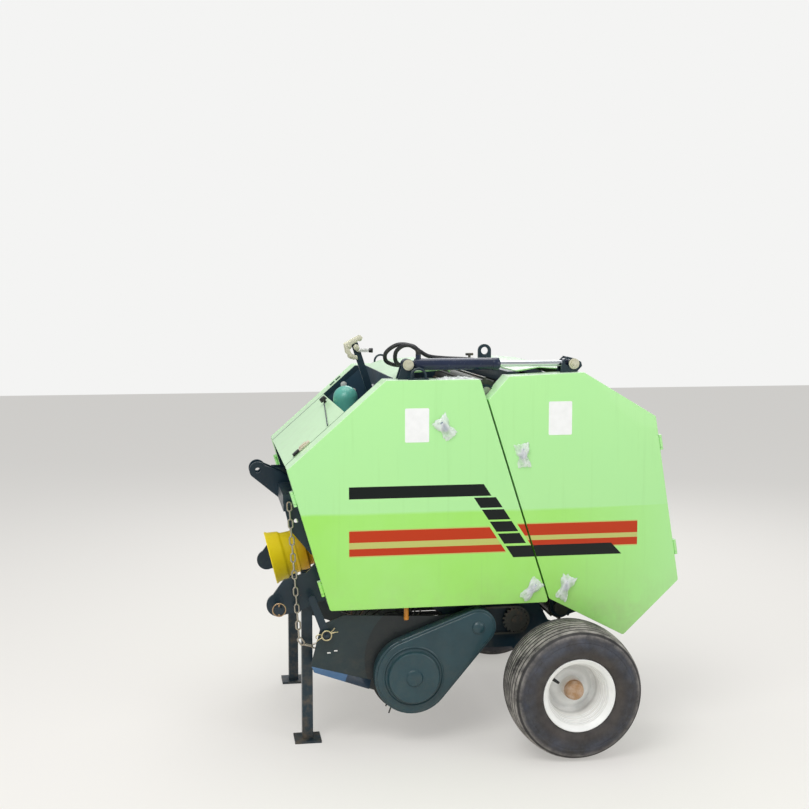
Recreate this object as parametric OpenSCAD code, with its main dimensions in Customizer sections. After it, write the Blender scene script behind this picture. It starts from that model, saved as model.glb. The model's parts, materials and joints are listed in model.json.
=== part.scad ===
// Round baler for a small tractor: three-point hitch in front, two wheels, a roller bale chamber
// and a tailgate that lifts at the back. Sizes are in millimetres. X points forward along the
// direction of travel, Y to the machine's left and Z up. Distances are measured from the wheel axle,
// and heights from a base line 228.5 mm under it. The finished machine is then set down with its
// tyres on the ground and the origin at the middle of its length and width.

/* [Body] */
// Width across the four side doors
body_w = 940; // [900:2:980]
// Clear width of the bale chamber between its side plates
chamber_w = 720; // [690:2:740]
// Distance of the chamber's centre ahead of the axle
chamber_x = 145; // [135:1:155]
// Height of the chamber's centre above the base line
chamber_z = 805; // [795:1:815]
// Lean of the split between the front body and the tailgate, from upright
split_lean = 17.6; // [16.5:0.1:18.5]
// Gap between the front body and the tailgate along the split
split_gap = 6; // [5:0.5:10]
// Height of the front cabinets' flat top
deck_z = 1242; // [1230:1:1250]
// Distance of the top's front corner ahead of the axle
brow_x = 600; // [590:1:615]
// Distance of the nose corner ahead of the axle
nose_x = 924; // [912:1:932]
// Height of the nose corner
nose_z = 955; // [945:1:965]
// Distance of the front lower corner ahead of the axle
belly_x = 786; // [776:1:796]
// Height of the front body's lower edge
belly_z = 487; // [484:1:492]
// Thickness of the chamber's side plates
plate_t = 6; // [5:0.5:8]
// Thickness of the cabinets' sheet metal
sheet_t = 3; // [2:0.5:4]
// Depth of a door with its folded edge
door_t = 12; // [10:0.5:16]
// Width of a door's folded edge, inwards from its outline
door_fold = 4; // [3:0.5:6]

/* [Tailgate] */
// Distance of the tailgate's front top corner ahead of the axle
crest_x = 189; // [183:1:193]
// Height of that corner
crest_z = 1251; // [1246:1:1255]
// Distance of the tailgate's rear top corner behind the axle
crown_x = 66; // [60:1:75]
// Height of that corner
crown_z = 1262; // [1257:1:1268]
// Distance of the upper rear corner behind the axle
shoulder_x = 319; // [310:1:328]
// Height of that corner
shoulder_z = 1111; // [1100:1:1120]
// Distance of the rearmost corner behind the axle
tail_x = 409; // [400:1:415]
// Height of the rearmost corner
tail_z = 547; // [540:1:560]
// Distance of the lowest corner behind the axle
heel_x = 216; // [210:1:222]
// Height of the lowest corner
heel_z = 363; // [362:1:368]
// Height of the tailgate's lower front corner
lip_z = 499; // [498:1:504]
// Height of the point of the notch above the split
notch_z = 1174; // [1165:1:1178]

/* [Rollers] */
// Radius of the circle that the chamber rollers stand on
ring_r = 400; // [395:1:405]
// Radius over a roller's ribs
roller_r = 48; // [44:1:50]
// Height of a roller's ribs
rib_h = 6; // [4:1:8]
// Width of a roller's ribs
rib_w = 9; // [6:1:11]
// Ribs around a roller
rib_n = 8; // [6:1:10]
// Radius of a roller's shaft
journal_r = 15; // [12:1:18]
// Free space between a roller's drum and the side plates
roller_gap = 5; // [4:1:8]
// Radius of the tailgate's pivot pins
pivot_r = 12.5; // [10:0.5:13]

/* [Wheels] */
// Height of the wheel axle above the base line
axle_z = 228.5; // [227:0.5:230]
// Outside diameter of a tyre
tyre_d = 442; // [436:1:444]
// Width of a tyre
tyre_w = 215; // [200:1:225]
// Free space between a tyre and the doors beside it
tyre_gap = 9; // [8:1:20]
// Diameter of the rim at the tyre's bead
bead_d = 213; // [206:1:216]
// Diameter over the rim's flanges
flange_d = 242; // [234:1:246]
// Radius of the wheel spindles
spindle_r = 17.5; // [15:0.5:20]
// Side of the square axle beam
beam_a = 60; // [50:1:64]

/* [Pick-up] */
// Distance of the pick-up reel's axis ahead of the axle
reel_x = 508; // [500:1:515]
// Height of the pick-up reel's axis
reel_z = 252; // [248:1:256]
// Distance of the feed roller's axis ahead of the axle
feed_x = 287; // [284:1:290]
// Height of the feed roller's axis
feed_z = 408; // [404:1:410]
// Radius over the bands
band_r = 128; // [122:1:132]
// Radius over the tine tips
tine_tip_r = 182; // [170:1:186]
// Width of one band
band_w = 54; // [50:1:56]
// Free space between two bands
band_gap = 17; // [16:1:20]
// Number of bands
band_n = 11; // [9:1:11]
// Thickness of a band
band_t = 3; // [2:0.5:4]
// Radius of a tine
tine_r = 2.75; // [2:0.25:3]
// Tine bars around the reel
bar_n = 4; // [3:1:5]

/* [Hitch] */
// Distance of the top link pin ahead of the axle
link_x = 998; // [990:1:1005]
// Height of the top link pin
link_z = 895; // [888:1:902]
// Radius of the top link pin's bore
link_bore_r = 9.75; // [9.5:0.05:10.5]
// Radius of the clevis nose
link_nose_r = 30; // [26:1:32]
// Distance of the lower hitch pins ahead of the axle
hitch_x = 950; // [944:1:956]
// Height of the lower hitch pins
hitch_z = 486; // [480:1:492]
// Radius of the lower hitch pins
hitch_pin_r = 11; // [10.5:0.25:12]
// Free length of a lower hitch pin
hitch_pin_len = 76; // [70:1:84]
// Thickness of the hitch plates
hitch_t = 12; // [10:1:14]

/* [Cylinder] */
// Distance of the cylinder's base pin ahead of the axle
base_x = 519; // [512:1:526]
// Height of the cylinder's base pin
base_z = 1289; // [1284:1:1294]
// Distance of the rod's eye behind the axle
eye_x = 45; // [42:1:48]
// Height of the rod's eye
eye_z = 1288; // [1284:1:1292]
// Distance of the cylinder from the machine's middle plane
cyl_y = 392; // [390:1:396]
// Radius of the barrel
barrel_r = 20; // [18:0.5:21]
// Radius of the rod
rod_r = 10; // [8:0.5:12]
// Length of the barrel from its base pin
barrel_len = 309; // [300:1:315]
// Radius of the pins at both ends of the cylinder
cyl_pin_r = 8; // [7:0.5:9]

/* [Stands] */
// Side of a parking leg's square tube
leg_a = 36; // [30:1:40]
// Distance of the parking legs ahead of the axle
leg_x = 852; // [848:1:856]
// How far a leg can be pulled up
leg_travel = 220; // [180:1:240]

/* [Hidden] */
$fn = 48;

// clearances
seat_gap = 0.3;
run_gap = 0.05;
move_gap = 5;

// colours
panel_green = [0.60, 0.90, 0.45];
frame_dark = [0.10, 0.16, 0.17];
case_dark = [0.16, 0.24, 0.25];
zinc_steel = [0.72, 0.68, 0.52];
bare_steel = [0.55, 0.56, 0.56];

// heights and widths that follow from the sizes above
ground_z = axle_z - tyre_d / 2;
half_w = body_w / 2;
inner_y = chamber_w / 2;
outer_y = inner_y + plate_t;
gate_shift = 0.5;
gate_y = inner_y + gate_shift;
door_y = half_w - door_t;
rim_y = door_y - seat_gap;
wheel_y = half_w + tyre_gap + tyre_w / 2;
rear_x = -tail_x;
front_x = link_x + link_nose_r;
mid_x = (front_x + rear_x) / 2;

function polar(r, a) = [r * cos(a), r * sin(a)];
function unit(v) = v / norm(v);
function left_of(v) = [-v[1], v[0]];
// points along an arc about c
function arc(c, r, from, to, n) = [for (i = [0:n]) c + polar(r, from + (to - from) * i / n)];
// an anticlockwise outline moved inwards by d
function inset(p, d) = let (n = len(p)) [for (i = [0:n - 1])
    let (u = unit(p[i] - p[(i + n - 1) % n]), v = unit(p[(i + 1) % n] - p[i]),
        m = unit(left_of(u) + left_of(v)))
    p[i] + m * d / (m * left_of(u))];
// bearing of the vector from a to b
function bearing(a, b) = atan2(b[1] - a[1], b[0] - a[0]);
// outer tangent points of two circles, first on the left of a to b and then on its right
function tangents(a, ra, b, rb) =
    let (t = bearing(a, b), k = acos((ra - rb) / norm(b - a)))
    [a + polar(ra, t + k), b + polar(rb, t + k), b + polar(rb, t - k), a + polar(ra, t - k)];
// a belt around centres taken anticlockwise, all with the radius r
function belt(c, r, n) = let (m = len(c)) [for (i = [0:m - 1])
    let (h = bearing(c[(i + m - 1) % m], c[i]) - 90, g = bearing(c[i], c[(i + 1) % m]) - 90,
        turn = (g - h + 720) % 360)
    for (p = arc(c[i], r, h, h + turn, n)) p];
// a point of the split line at height z, moved forward by off at right angles to it
function on_split(z, off) = [chamber_x + (z - chamber_z) * tan(split_lean) + off / cos(split_lean), z];
// centre of a chamber roller at an angle
function ring_point(a) = [chamber_x, chamber_z] + polar(ring_r, a);

// side outlines of the front body and the tailgate
front_outline = [[nose_x, nose_z], [brow_x, deck_z], on_split(deck_z, split_gap / 2),
    on_split(belly_z, split_gap / 2), [belly_x, belly_z]];
gate_outline = [[crest_x, crest_z], [-crown_x, crown_z], [-shoulder_x, shoulder_z],
    [-tail_x, tail_z], [-heel_x, heel_z], on_split(lip_z, -split_gap / 2),
    on_split(notch_z, -split_gap / 2)];

// rollers, anticlockwise angles on the ring
pivot_a = 75.5;
roller_step = 24;
front_angles = [for (i = [0:4]) pivot_a - i * roller_step];
gate_angles = [for (i = [0:6]) 101 + i * roller_step];
pivot = ring_point(pivot_a);
feed = [feed_x, feed_z];
floor_roller = [feed_x - 148, feed_z];
low_roller = ring_point(gate_angles[6]);
reel = [reel_x, reel_z];
axle = [0, axle_z];

// places everything so that the origin is at the middle of the machine on the ground
module place() {
    translate([-mid_x, 0, -ground_z]) children();
}
// a side outline made solid from y0 to y0 + t
module slab(y0, t) {
    translate([0, y0 + t, 0]) rotate([90, 0, 0]) linear_extrude(t) children();
}
// a round bar along Y about the side point c
module rod_y(c, r, y0, y1) {
    translate([c[0], y1, c[1]]) rotate([90, 0, 0]) cylinder(r = r, h = y1 - y0);
}
module both_sides() {
    children();
    mirror([0, 1, 0]) children();
}
// the left side's shape, or its mirror image
module on_side(side) {
    if (side > 0) children();
    else mirror([0, 1, 0]) children();
}
// a flat ring between two belts
module ring_of(outer, inner) {
    difference() {
        polygon(outer);
        polygon(inner);
    }
}

/* front body */
lobe_foot_z = 190;
lobe_half = 50;
lobe_low_z = 310;
ear_r = 26;
boss_r = 19;

module front_side_plates() {
    color(frame_dark) place() both_sides() slab(inner_y, plate_t) difference() {
        union() {
            polygon(inset(front_outline, 1));
            translate(pivot) circle(r = ear_r);
            polygon([[belly_x - 300, belly_z + 10], [belly_x - 386, belly_z - 45],
                [feed_x + 27, feed_z - 56], [feed_x - 45, lobe_low_z],
                [floor_roller[0] + 10, lobe_low_z], [lobe_half, lobe_foot_z],
                [-lobe_half, lobe_foot_z], [-lobe_half - 10, axle_z + 60], [-lobe_half - 10, 372],
                [20, 398], [62, lip_z - 26], on_split(lip_z + 4, split_gap / 2)]);
        }
        translate(axle - [beam_a / 2, beam_a / 2]) square(beam_a);
    }
    color(bare_steel) place() both_sides() rod_y(hood_pivot, hood_pin_r, hood_y - 4, inner_y + 1);
}

// cross members: centre x, centre z, width and height
box_rear_x = 560;
front_tubes = [[box_rear_x - seat_gap - 25, 1205, 50, 50], [715, 520, 50, 50], [590, 932, 40, 60]];
module cross_members() {
    color(frame_dark) place() for (m = front_tubes) let (x = m[0], z = m[1], w = m[2], h = m[3])
        translate([x - w / 2, -inner_y, z - h / 2]) cube([w, chamber_w, h]);
}

beam_end = 452;
spindle_end = 46;
hub_len = 74;
dish_y = -14;
hub_y = wheel_y + dish_y - hub_len / 2;
module axle_beam() {
    color(frame_dark) place() union() {
        translate([-beam_a / 2, -beam_end, axle_z - beam_a / 2]) cube([beam_a, 2 * beam_end, beam_a]);
        rod_y(axle, spindle_r, -wheel_y - spindle_end, wheel_y + spindle_end);
        rod_y(axle, spindle_r + 8, -hub_y + seat_gap, hub_y - seat_gap);
    }
}

/* wheels */
hub_r = 34;
rim_t = 4;
// half of the tyre's section: distance from the wheel's plane and radius
crown_drop = 10;
shoulder_y = 84;
groove_w = 7;
groove_d = 5;
grooves = [-54, -18, 18, 54];
function crown_r(y) = tyre_d / 2 - crown_drop * pow(y / shoulder_y, 2);
module tyre(side) {
    wall_r = flange_d / 2 + 42;
    color([0.12, 0.12, 0.12]) place() on_side(side) translate([0, wheel_y, axle_z]) rotate([-90, 0, 0])
        rotate_extrude($fn = 56) polygon(concat(
            [[bead_d / 2, tyre_w / 2 - 30], [bead_d / 2, 30 - tyre_w / 2], [flange_d / 2 + 3, 16 - tyre_w / 2],
                [flange_d / 2 + 20, 4 - tyre_w / 2], [wall_r, -tyre_w / 2],
                [crown_r(shoulder_y) - 26, 7 - tyre_w / 2],
                [crown_r(shoulder_y) - 8, 14 - tyre_w / 2], [crown_r(shoulder_y), -shoulder_y]],
            [for (g = grooves) each [[crown_r(g), g - groove_w / 2], [crown_r(g) - groove_d, g - groove_w / 4],
                [crown_r(g) - groove_d, g + groove_w / 4], [crown_r(g), g + groove_w / 2]]],
            [[crown_r(shoulder_y), shoulder_y], [crown_r(shoulder_y) - 8, tyre_w / 2 - 14],
                [crown_r(shoulder_y) - 26, tyre_w / 2 - 7], [wall_r, tyre_w / 2],
                [flange_d / 2 + 20, tyre_w / 2 - 4], [flange_d / 2 + 3, tyre_w / 2 - 16]]));
}
module wheel_tyre_left() { tyre(1); }
module wheel_tyre_right() { tyre(-1); }

cap_r = 30;
module rim(side) {
    bead_y = tyre_w / 2 - 30;
    seat_r = bead_d / 2 - seat_gap;
    lip_y = bead_y + 12.2;
    inner_r = seat_r - rim_t;
    hub_in = dish_y - hub_len / 2;
    hub_out = dish_y + hub_len / 2;
    color([0.82, 0.83, 0.84]) place() on_side(side) translate([0, wheel_y, axle_z]) rotate([-90, 0, 0])
        rotate_extrude() polygon([
            [spindle_r + run_gap, hub_out], [spindle_r + run_gap, hub_in], [hub_r, hub_in],
            [hub_r, dish_y - rim_t], [hub_r + 34, dish_y - rim_t], [hub_r + 46, dish_y - 14],
            [inner_r, dish_y - 14], [inner_r, -bead_y - 2], [flange_d / 2 - 3, -lip_y - 3],
            [flange_d / 2, -lip_y], [seat_r, -bead_y], [seat_r, bead_y], [flange_d / 2, lip_y],
            [flange_d / 2 - 3, lip_y + 3], [inner_r, bead_y + 2], [inner_r, dish_y - 8],
            [hub_r + 50, dish_y - 8], [hub_r + 38, dish_y + 2], [hub_r, dish_y + 2], [hub_r, hub_out]]);
    color([0.62, 0.45, 0.30]) place() on_side(side) translate([0, wheel_y + hub_out, axle_z])
        rotate([-90, 0, 0]) rotate_extrude() polygon([[spindle_r + 2, 0], [cap_r, 0], [cap_r, 22],
            [cap_r - 5, 30], [0, 32], [0, 28], [spindle_r + 2, 26]]);
}
module wheel_rim_left() { rim(1); }
module wheel_rim_right() { rim(-1); }

/* hitch */
mast_y = inner_y - hitch_t;
mast_beam = [903, 825];
mast_beam_a = 50;
clevis_gap = 52;
function nose_line(z, off) = [belly_x + (z - belly_z) * (nose_x - belly_x) / (nose_z - belly_z) + off, z];
module hitch_mast() {
    color(frame_dark) place() difference() {
        union() {
            both_sides() slab(mast_y, hitch_t) polygon([[930, 858], [930, 831], [908, 739],
                nose_line(655, 4), nose_line(640, -30), nose_line(858, -30)]);
            translate([mast_beam[0] - mast_beam_a / 2, -inner_y + hitch_t, mast_beam[1] - mast_beam_a / 2])
                cube([mast_beam_a, chamber_w - 2 * hitch_t, mast_beam_a]);
            both_sides() slab(clevis_gap / 2, hitch_t) union() {
                translate([link_x, link_z]) circle(r = link_nose_r);
                polygon([[link_x + 2, link_z + link_nose_r], [917, 887], [880, 862], [880, 790], [905, 779],
                    [link_x + 20, link_z - 22]]);
            }
        }
        rod_y([link_x, link_z], link_bore_r, -inner_y, inner_y);
        rod_y([887, 769], 8, -half_w, half_w);
    }
    color(frame_dark) place() rod_y(hook, chain_pin_r, inner_y, chain_y + 12);
}

// square sockets for the parking legs, against the inner faces of the lower hitch plates
socket_t = 4;
socket_gap = 0.4;
socket_z = 484;
socket_h = 90;
leg_y = mast_y - socket_t - socket_gap - leg_a / 2;
module leg_socket() {
    bore = leg_a + 2 * socket_gap;
    wide = bore + 2 * socket_t;
    translate([leg_x, leg_y, socket_z]) difference() {
        translate([-wide / 2, -wide / 2, 0]) cube([wide, wide, socket_h]);
        translate([-bore / 2, -bore / 2, -1]) cube([bore, bore, socket_h + 2]);
        translate([-wide, 0, lock_z - socket_z]) rotate([0, 90, 0]) cylinder(r = lock_r, h = 2 * wide);
    }
}
module lower_hitch_plates() {
    color(frame_dark) place() both_sides() union() {
        leg_socket();
        slab(mast_y, hitch_t) union() {
            translate([hitch_x, hitch_z]) circle(r = 38);
            polygon([[hitch_x - 20, hitch_z + 84], [854, 592], nose_line(622, 0), nose_line(622, -40),
                nose_line(500, -49), nose_line(495, 20), [879, 462], [hitch_x - 10, hitch_z - 36],
                [hitch_x + 37, hitch_z + 6]]);
        }
        rod_y([hitch_x, hitch_z], hitch_pin_r, inner_y - 1, inner_y + hitch_pin_len);
    }
}

/* drive line */
input_z = 601;
gearbox_x = 715;
module guard_root() {
    translate([806, 0, 606]) rotate([0, 90 + guard_tilt, 0]) children();
}
module gearbox() {
    color(case_dark) place() difference() {
        gearbox_body();
        translate([shaft_x - seat_gap, 0, input_z]) rotate([0, 90, 0]) cylinder(r = shaft_r + run_gap, h = 100);
    }
}
module gearbox_body() {
    union() {
        translate([gearbox_x - 75, -60, 545]) cube([130, 120, 14]);
        translate([gearbox_x - 62, -48, 550]) cube([106, 96, 106]);
        translate([gearbox_x - 20, 0, input_z]) rotate([0, 90, 0]) cylinder(r = 44, h = 95);
        rod_y([gearbox_x - 10, input_z], 40, -70, 70);
        rod_y([gearbox_x - 10, input_z], 24, 60, inner_y);
        guard_root() translate([0, 0, -34]) cylinder(r = 58, h = 34);
    }
}
shaft_r = 17.4;
shaft_x = 796;
shaft_len = 88;
module input_shaft() {
    color(bare_steel) place() translate([shaft_x, 0, input_z]) rotate([0, 90, 0]) difference() {
        cylinder(r = shaft_r, h = shaft_len);
        for (i = [0:5]) rotate(i * 60) translate([shaft_r - 2.6, -4.3, 14]) cube([6, 8.6, shaft_len]);
        translate([0, 0, 62]) rotate_extrude() translate([shaft_r + 1, 0]) circle(r = 4.5, $fn = 24);
    }
}
guard_tilt = 14;
guard_t = 3;
module shaft_guard() {
    color([0.95, 0.85, 0.10]) place() guard_root() rotate_extrude() polygon([
        [48, 0], [62, 0], [62, 18], [74, 24], [77, 60], [79, 100], [85, 106], [92, 146], [96, 150],
        [96, 153], [92, 154], [92 - guard_t, 147], [85 - guard_t, 108], [79 - guard_t, 103],
        [77 - guard_t, 60], [74 - guard_t, 27], [62 - guard_t, 21], [62 - guard_t, 4], [48, 4]]);
}

/* rollers */
module roller(c, half_len, shaft_half) {
    slab(-half_len, 2 * half_len) translate(c) union() {
        circle(r = roller_r - rib_h);
        for (i = [0:rib_n - 1]) rotate(i * 360 / rib_n)
            translate([roller_r / 2, -rib_w / 2]) square([roller_r / 2, rib_w]);
    }
    rod_y(c, journal_r, -shaft_half, shaft_half);
}
front_roller_centres = concat([for (a = front_angles) ring_point(a)], [feed, floor_roller]);
gate_roller_centres = [for (a = gate_angles) ring_point(a)];
module front_rollers() {
    color(bare_steel) place() for (c = front_roller_centres) union() roller(c, inner_y - roller_gap, inner_y);
}
module gate_rollers() {
    color(bare_steel) place() for (c = gate_roller_centres) union() roller(c, gate_y - roller_gap, gate_y);
}

/* hinges of the side doors: knuckles on the door, eyes and a pin on the cabinet */
hinge_pin_r = 3;
knuckle_r = 5.5;
knuckle_len = 34;
eye_len = 8;
hinge_off = 7;
hinge_y = door_y + 5;
hinge_reach = knuckle_len / 2 + 0.5;
knuckle_at = [0.16, 0.80];
front_edge = [[belly_x, belly_z], [nose_x, nose_z]];
gate_edge = [[-shoulder_x, shoulder_z], [-tail_x, tail_z]];
// local x points out of the edge a to b and local z along it
module at_edge(a, b, t) {
    p = a + (b - a) * t + hinge_off * unit([b[1] - a[1], a[0] - b[0]]);
    translate([p[0], hinge_y, p[1]]) rotate([0, atan2(b[0] - a[0], b[1] - a[1]), 0]) children();
}
module hinge_eyes(a, b) {
    for (t = knuckle_at) at_edge(a, b, t) {
        translate([0, 0, -hinge_reach - eye_len]) cylinder(r = hinge_pin_r, h = 2 * (hinge_reach + eye_len));
        for (z = [-hinge_reach - eye_len, hinge_reach]) translate([0, 0, z]) {
            cylinder(r = knuckle_r, h = eye_len);
            translate([-knuckle_r, -12, 0]) cube([2 * knuckle_r, 12, eye_len]);
            translate([-hinge_off - 2, -17, 0])
                cube([hinge_off + 2 + knuckle_r, 17 - hinge_y + rim_y, eye_len]);
        }
    }
}

/* cabinets: closed bands of sheet metal around the drive on each side */
module front_cabinet(side) {
    color(panel_green) place() on_side(side) union() {
        slab(outer_y, rim_y - outer_y) ring_of(inset(front_outline, 1), inset(front_outline, 1 + sheet_t));
        hinge_eyes(front_edge[0], front_edge[1]);
    }
}
module front_cabinet_left() { front_cabinet(1); }
module front_cabinet_right() { front_cabinet(-1); }

arm_t = 8;
arm_y = gate_y + plate_t;
pin_head_r = pivot_r + 5;
pin_head_t = 8;
pin_head_y = arm_y + arm_t + 0.5;
module arm_outline() {
    translate(pivot) circle(r = boss_r);
    polygon([pivot + [0, boss_r], [90, 1222], [60, 1120], pivot + [4, -boss_r + 0.5]]);
}
module gate_cabinet(side) {
    color(panel_green) place() on_side(side) union() {
        difference() {
            slab(arm_y, rim_y - arm_y) ring_of(inset(gate_outline, 1), inset(gate_outline, 1 + sheet_t));
            slab(arm_y - 1, arm_t + 1) arm_outline();
            rod_y(pivot, pin_head_r + move_gap, arm_y - 1, pin_head_y + pin_head_t + move_gap);
            rod_y(low_roller, bearing_r + seat_gap, arm_y - 1, arm_y + bearing_h + seat_gap);
        }
        hinge_eyes(gate_edge[0], gate_edge[1]);
    }
}
module gate_cabinet_left() { gate_cabinet(1); }
module gate_cabinet_right() { gate_cabinet(-1); }

/* drive behind the left doors */
sprocket_r = 36;
chain_half = 5;
drive_y = 396;
drive_t = 10;
bearing_r = 26;
bearing_h = 14;
// sprocket outline with plain teeth
function teeth(r, n) = [for (i = [0:n - 1]) each [polar(r, (i + 0.32) * 360 / n),
    polar(r, (i + 0.68) * 360 / n), polar(r - 7, (i + 0.90) * 360 / n), polar(r - 7, (i + 1.10) * 360 / n)]];
module drive(c, y0) {
    for (p = c) union() {
        rod_y(p, bearing_r, y0, y0 + bearing_h);
        rod_y(p, journal_r, y0, drive_y + drive_t + 6);
    }
    slab(drive_y, drive_t) ring_of(belt(c, sprocket_r + chain_half, 6), belt(c, sprocket_r - chain_half, 6));
    for (p = c) slab(drive_y, drive_t) translate(p) circle(r = sprocket_r - chain_half + 1);
}
drive_centres = concat([[gearbox_x - 10, input_z]], [for (i = [2, 1, 3]) ring_point(front_angles[i])]);
low_y = 378;
low_t = 8;
low_r = 46;
module front_drive() {
    color(bare_steel) place() {
        union() drive(drive_centres, outer_y);
        union() {
            for (p = [feed, floor_roller]) rod_y(p, journal_r, outer_y, low_y + low_t + 4);
            for (p = [feed, floor_roller]) slab(low_y, low_t) translate(p) polygon(teeth(low_r, 18));
            slab(low_y, low_t)
                ring_of(belt([floor_roller, feed], low_r + 3, 12), belt([floor_roller, feed], low_r - 4, 12));
        }
        mirror([0, 1, 0]) for (i = [1:4])
            rod_y(ring_point(front_angles[i]), bearing_r, outer_y, outer_y + bearing_h);
    }
}
gate_centres = [for (i = [1:5]) ring_point(gate_angles[i])];
module gate_drive() {
    color(bare_steel) place() {
        union() drive(gate_centres, arm_y);
        rod_y(low_roller, bearing_r, arm_y, arm_y + bearing_h);
        mirror([0, 1, 0]) for (c = concat(gate_centres, [low_roller]))
            rod_y(c, bearing_r, arm_y, arm_y + bearing_h);
    }
}

/* twine box under the hood */
slope = unit([brow_x - nose_x, deck_z - nose_z]);
hood_len = 266;
box_floor_z = 962;
box_t = 3;
module twine_box() {
    color([0.08, 0.14, 0.18]) place() union() {
        translate([box_rear_x, -inner_y, box_floor_z]) cube([nose_x - 44 - box_rear_x, chamber_w, box_t]);
        translate([box_rear_x, -inner_y, box_floor_z]) cube([box_t, chamber_w, deck_z - box_floor_z]);
        both_sides() slab(inner_y - box_t, box_t) polygon([[box_rear_x, box_floor_z],
            [nose_x - 44, box_floor_z], [nose_x, nose_z] + slope * 42 + left_of(slope) * 22,
            [brow_x, deck_z] + left_of(slope) * 22, [brow_x - 20, deck_z - 3], [box_rear_x, deck_z - 3]]);
    }
}
canister_r = 46;
canister_h = 168;
canister_at = [662, -150];
module twine_canister() {
    color([0.05, 0.45, 0.40]) place() translate(concat(canister_at, box_floor_z + box_t)) rotate_extrude()
        polygon(concat([[0, 0], [canister_r, 0]], arc([0, canister_h], canister_r, 0, 90, 12)));
}
post_foot = [588, 1165];
post_head = [642, 1330];
post_t = 10;
post_w = 24;
post_lean = bearing(post_foot, post_head);
tensioner_pin_r = 6;
module tensioner_post() {
    color(frame_dark) place() difference() {
        union() {
            translate([post_foot[0], -post_t / 2, post_foot[1]]) rotate([0, -post_lean, 0])
                translate([0, 0, -post_w / 2]) cube([norm(post_head - post_foot) + 14, post_t, post_w]);
            translate([box_rear_x + box_t, -14, 1150]) cube([post_foot[0] - box_rear_x + 6, 28, 30]);
        }
        rod_y(post_head, tensioner_pin_r + run_gap, -post_t, post_t);
    }
}
cheek_y = 17;
cheek_t = 3;
// twine rollers between the cheeks: place from the head's pin, and radius
guide_rollers = [[[26, 2], 10], [[18, -32], 8], [[-13, 30], 7]];
knob_x = 60;
module twine_tensioner() {
    reach = cheek_y + cheek_t;
    color(zinc_steel) place() union() {
        for (y = [-reach, cheek_y]) slab(y, cheek_t) translate(post_head)
            polygon([[42, 12], [36, -20], [12, -45], [-6, -44], [-14, -8], [-25, 32], [-16, 43], [10, 30]]);
        for (g = guide_rollers) {
            rod_y(post_head + g[0], g[1], -cheek_y - 1, cheek_y + 1);
            rod_y(post_head + g[0], g[1] / 2, -reach - 5, reach + 5);
        }
        rod_y(post_head, tensioner_pin_r, -reach - 4, reach + 4);
        translate([post_head[0] - knob_x, cheek_y + 1, post_head[1] - 12]) rotate([0, 90, 0]) {
            cylinder(r = 3, h = knob_x);
            cylinder(r = 9, h = 15);
            for (x = [20:5:40]) translate([0, 0, x]) cylinder(r = 6, h = 2.5);
        }
    }
}

/* top of the front body */
// low corner and size of the block that joins the hoses
hose_block = [438, 276, 1260];
hose_block_size = [34, 36, 30];
hose_block_x = hose_block[0] + hose_block_size[0];
module front_deck() {
    color(panel_green) place() union() {
        slab(-inner_y, chamber_w) polygon([[box_rear_x - seat_gap, 1230], [box_rear_x - seat_gap, 1240],
            [500, 1262], [372, 1272], [366, 1262], [368, 1258], [375, 1268], [498, 1258], [548, 1236],
            [548, 1230]]);
        translate(hose_block) cube(hose_block_size);
    }
}
// a tie ring on its plate, on top of each front cabinet
ring_bar_r = 4;
tie_ring_r = 24;
module tie_ring() {
    translate([-34, -8, 0]) cube([68, 18, 5]);
    translate([0, 0, 12]) rotate([90, 0, 0]) rotate_extrude(angle = 180, $fn = 32) translate([tie_ring_r, 0])
        circle(r = ring_bar_r, $fn = 16);
    for (x = [-tie_ring_r, tie_ring_r]) translate([x, 0, 3]) cylinder(r = ring_bar_r, h = 9, $fn = 16);
}

/* tailgate */
gate_lobe_r = 36;
module gate_side_plates() {
    color(frame_dark) place() both_sides() difference() {
        union() {
            slab(gate_y, plate_t) difference() {
                union() {
                    polygon(inset(gate_outline, 1));
                    translate(low_roller) circle(r = gate_lobe_r);
                    polygon([low_roller + [-96, -8], low_roller + polar(gate_lobe_r - 1, -100),
                        low_roller + polar(gate_lobe_r - 1, 10), low_roller + [44, 58]]);
                }
                translate(pivot) circle(r = ear_r + move_gap);
            }
            slab(arm_y, arm_t) arm_outline();
        }
        rod_y(pivot, pivot_r + run_gap, 0, half_w);
    }
}
module pivot_pins() {
    color(bare_steel) place() {
        both_sides() union() {
            rod_y(pivot, pivot_r, outer_y, pin_head_y + 1);
            rod_y(pivot, pin_head_r, pin_head_y, pin_head_y + pin_head_t);
        }
        rod_y(feed, journal_r, low_y + low_t + 4, pick_y + pick_t - 1);
        mirror([0, 1, 0]) rod_y(feed, journal_r, outer_y, pick_y + pick_t + 2);
    }
}
// cross members: centre x, centre z, width and height
gate_tubes = [[150, 1240, 40, 40], [-307.5, 1020, 40, 40], [-352, 600, 40, 40], [-205, 430, 40, 40]];
lift_eye = [167, 1313];
lift_eye_r = 13.5;
lift_lug_r = 24;
lift_lug_t = 12;
module gate_cross_members() {
    color(frame_dark) place() union() {
        for (m = gate_tubes) let (x = m[0], z = m[1], w = m[2], h = m[3])
            translate([x - w / 2, -gate_y, z - h / 2]) cube([w, 2 * gate_y, h]);
        difference() {
            slab(-lift_lug_t / 2, lift_lug_t) union() {
                translate(lift_eye) circle(r = lift_lug_r);
                translate([lift_eye[0] - lift_lug_r, 1255]) square([2 * lift_lug_r, lift_eye[1] - 1255]);
            }
            rod_y(lift_eye, lift_eye_r, -lift_lug_t, lift_lug_t);
        }
    }
    color(frame_dark) place() for (y = [cyl_y - lug_gap - lug_t, cyl_y + lug_gap]) rod_lug(y);
}
module gate_deck() {
    color(panel_green) place() slab(-gate_y, 2 * gate_y) polygon([[141, 1260], [141, 1263], [60, 1275],
        [-30, 1268], [-36, 1240], [-33, 1240], [-28, 1265], [60, 1272], [129, 1260]]);
}

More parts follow.
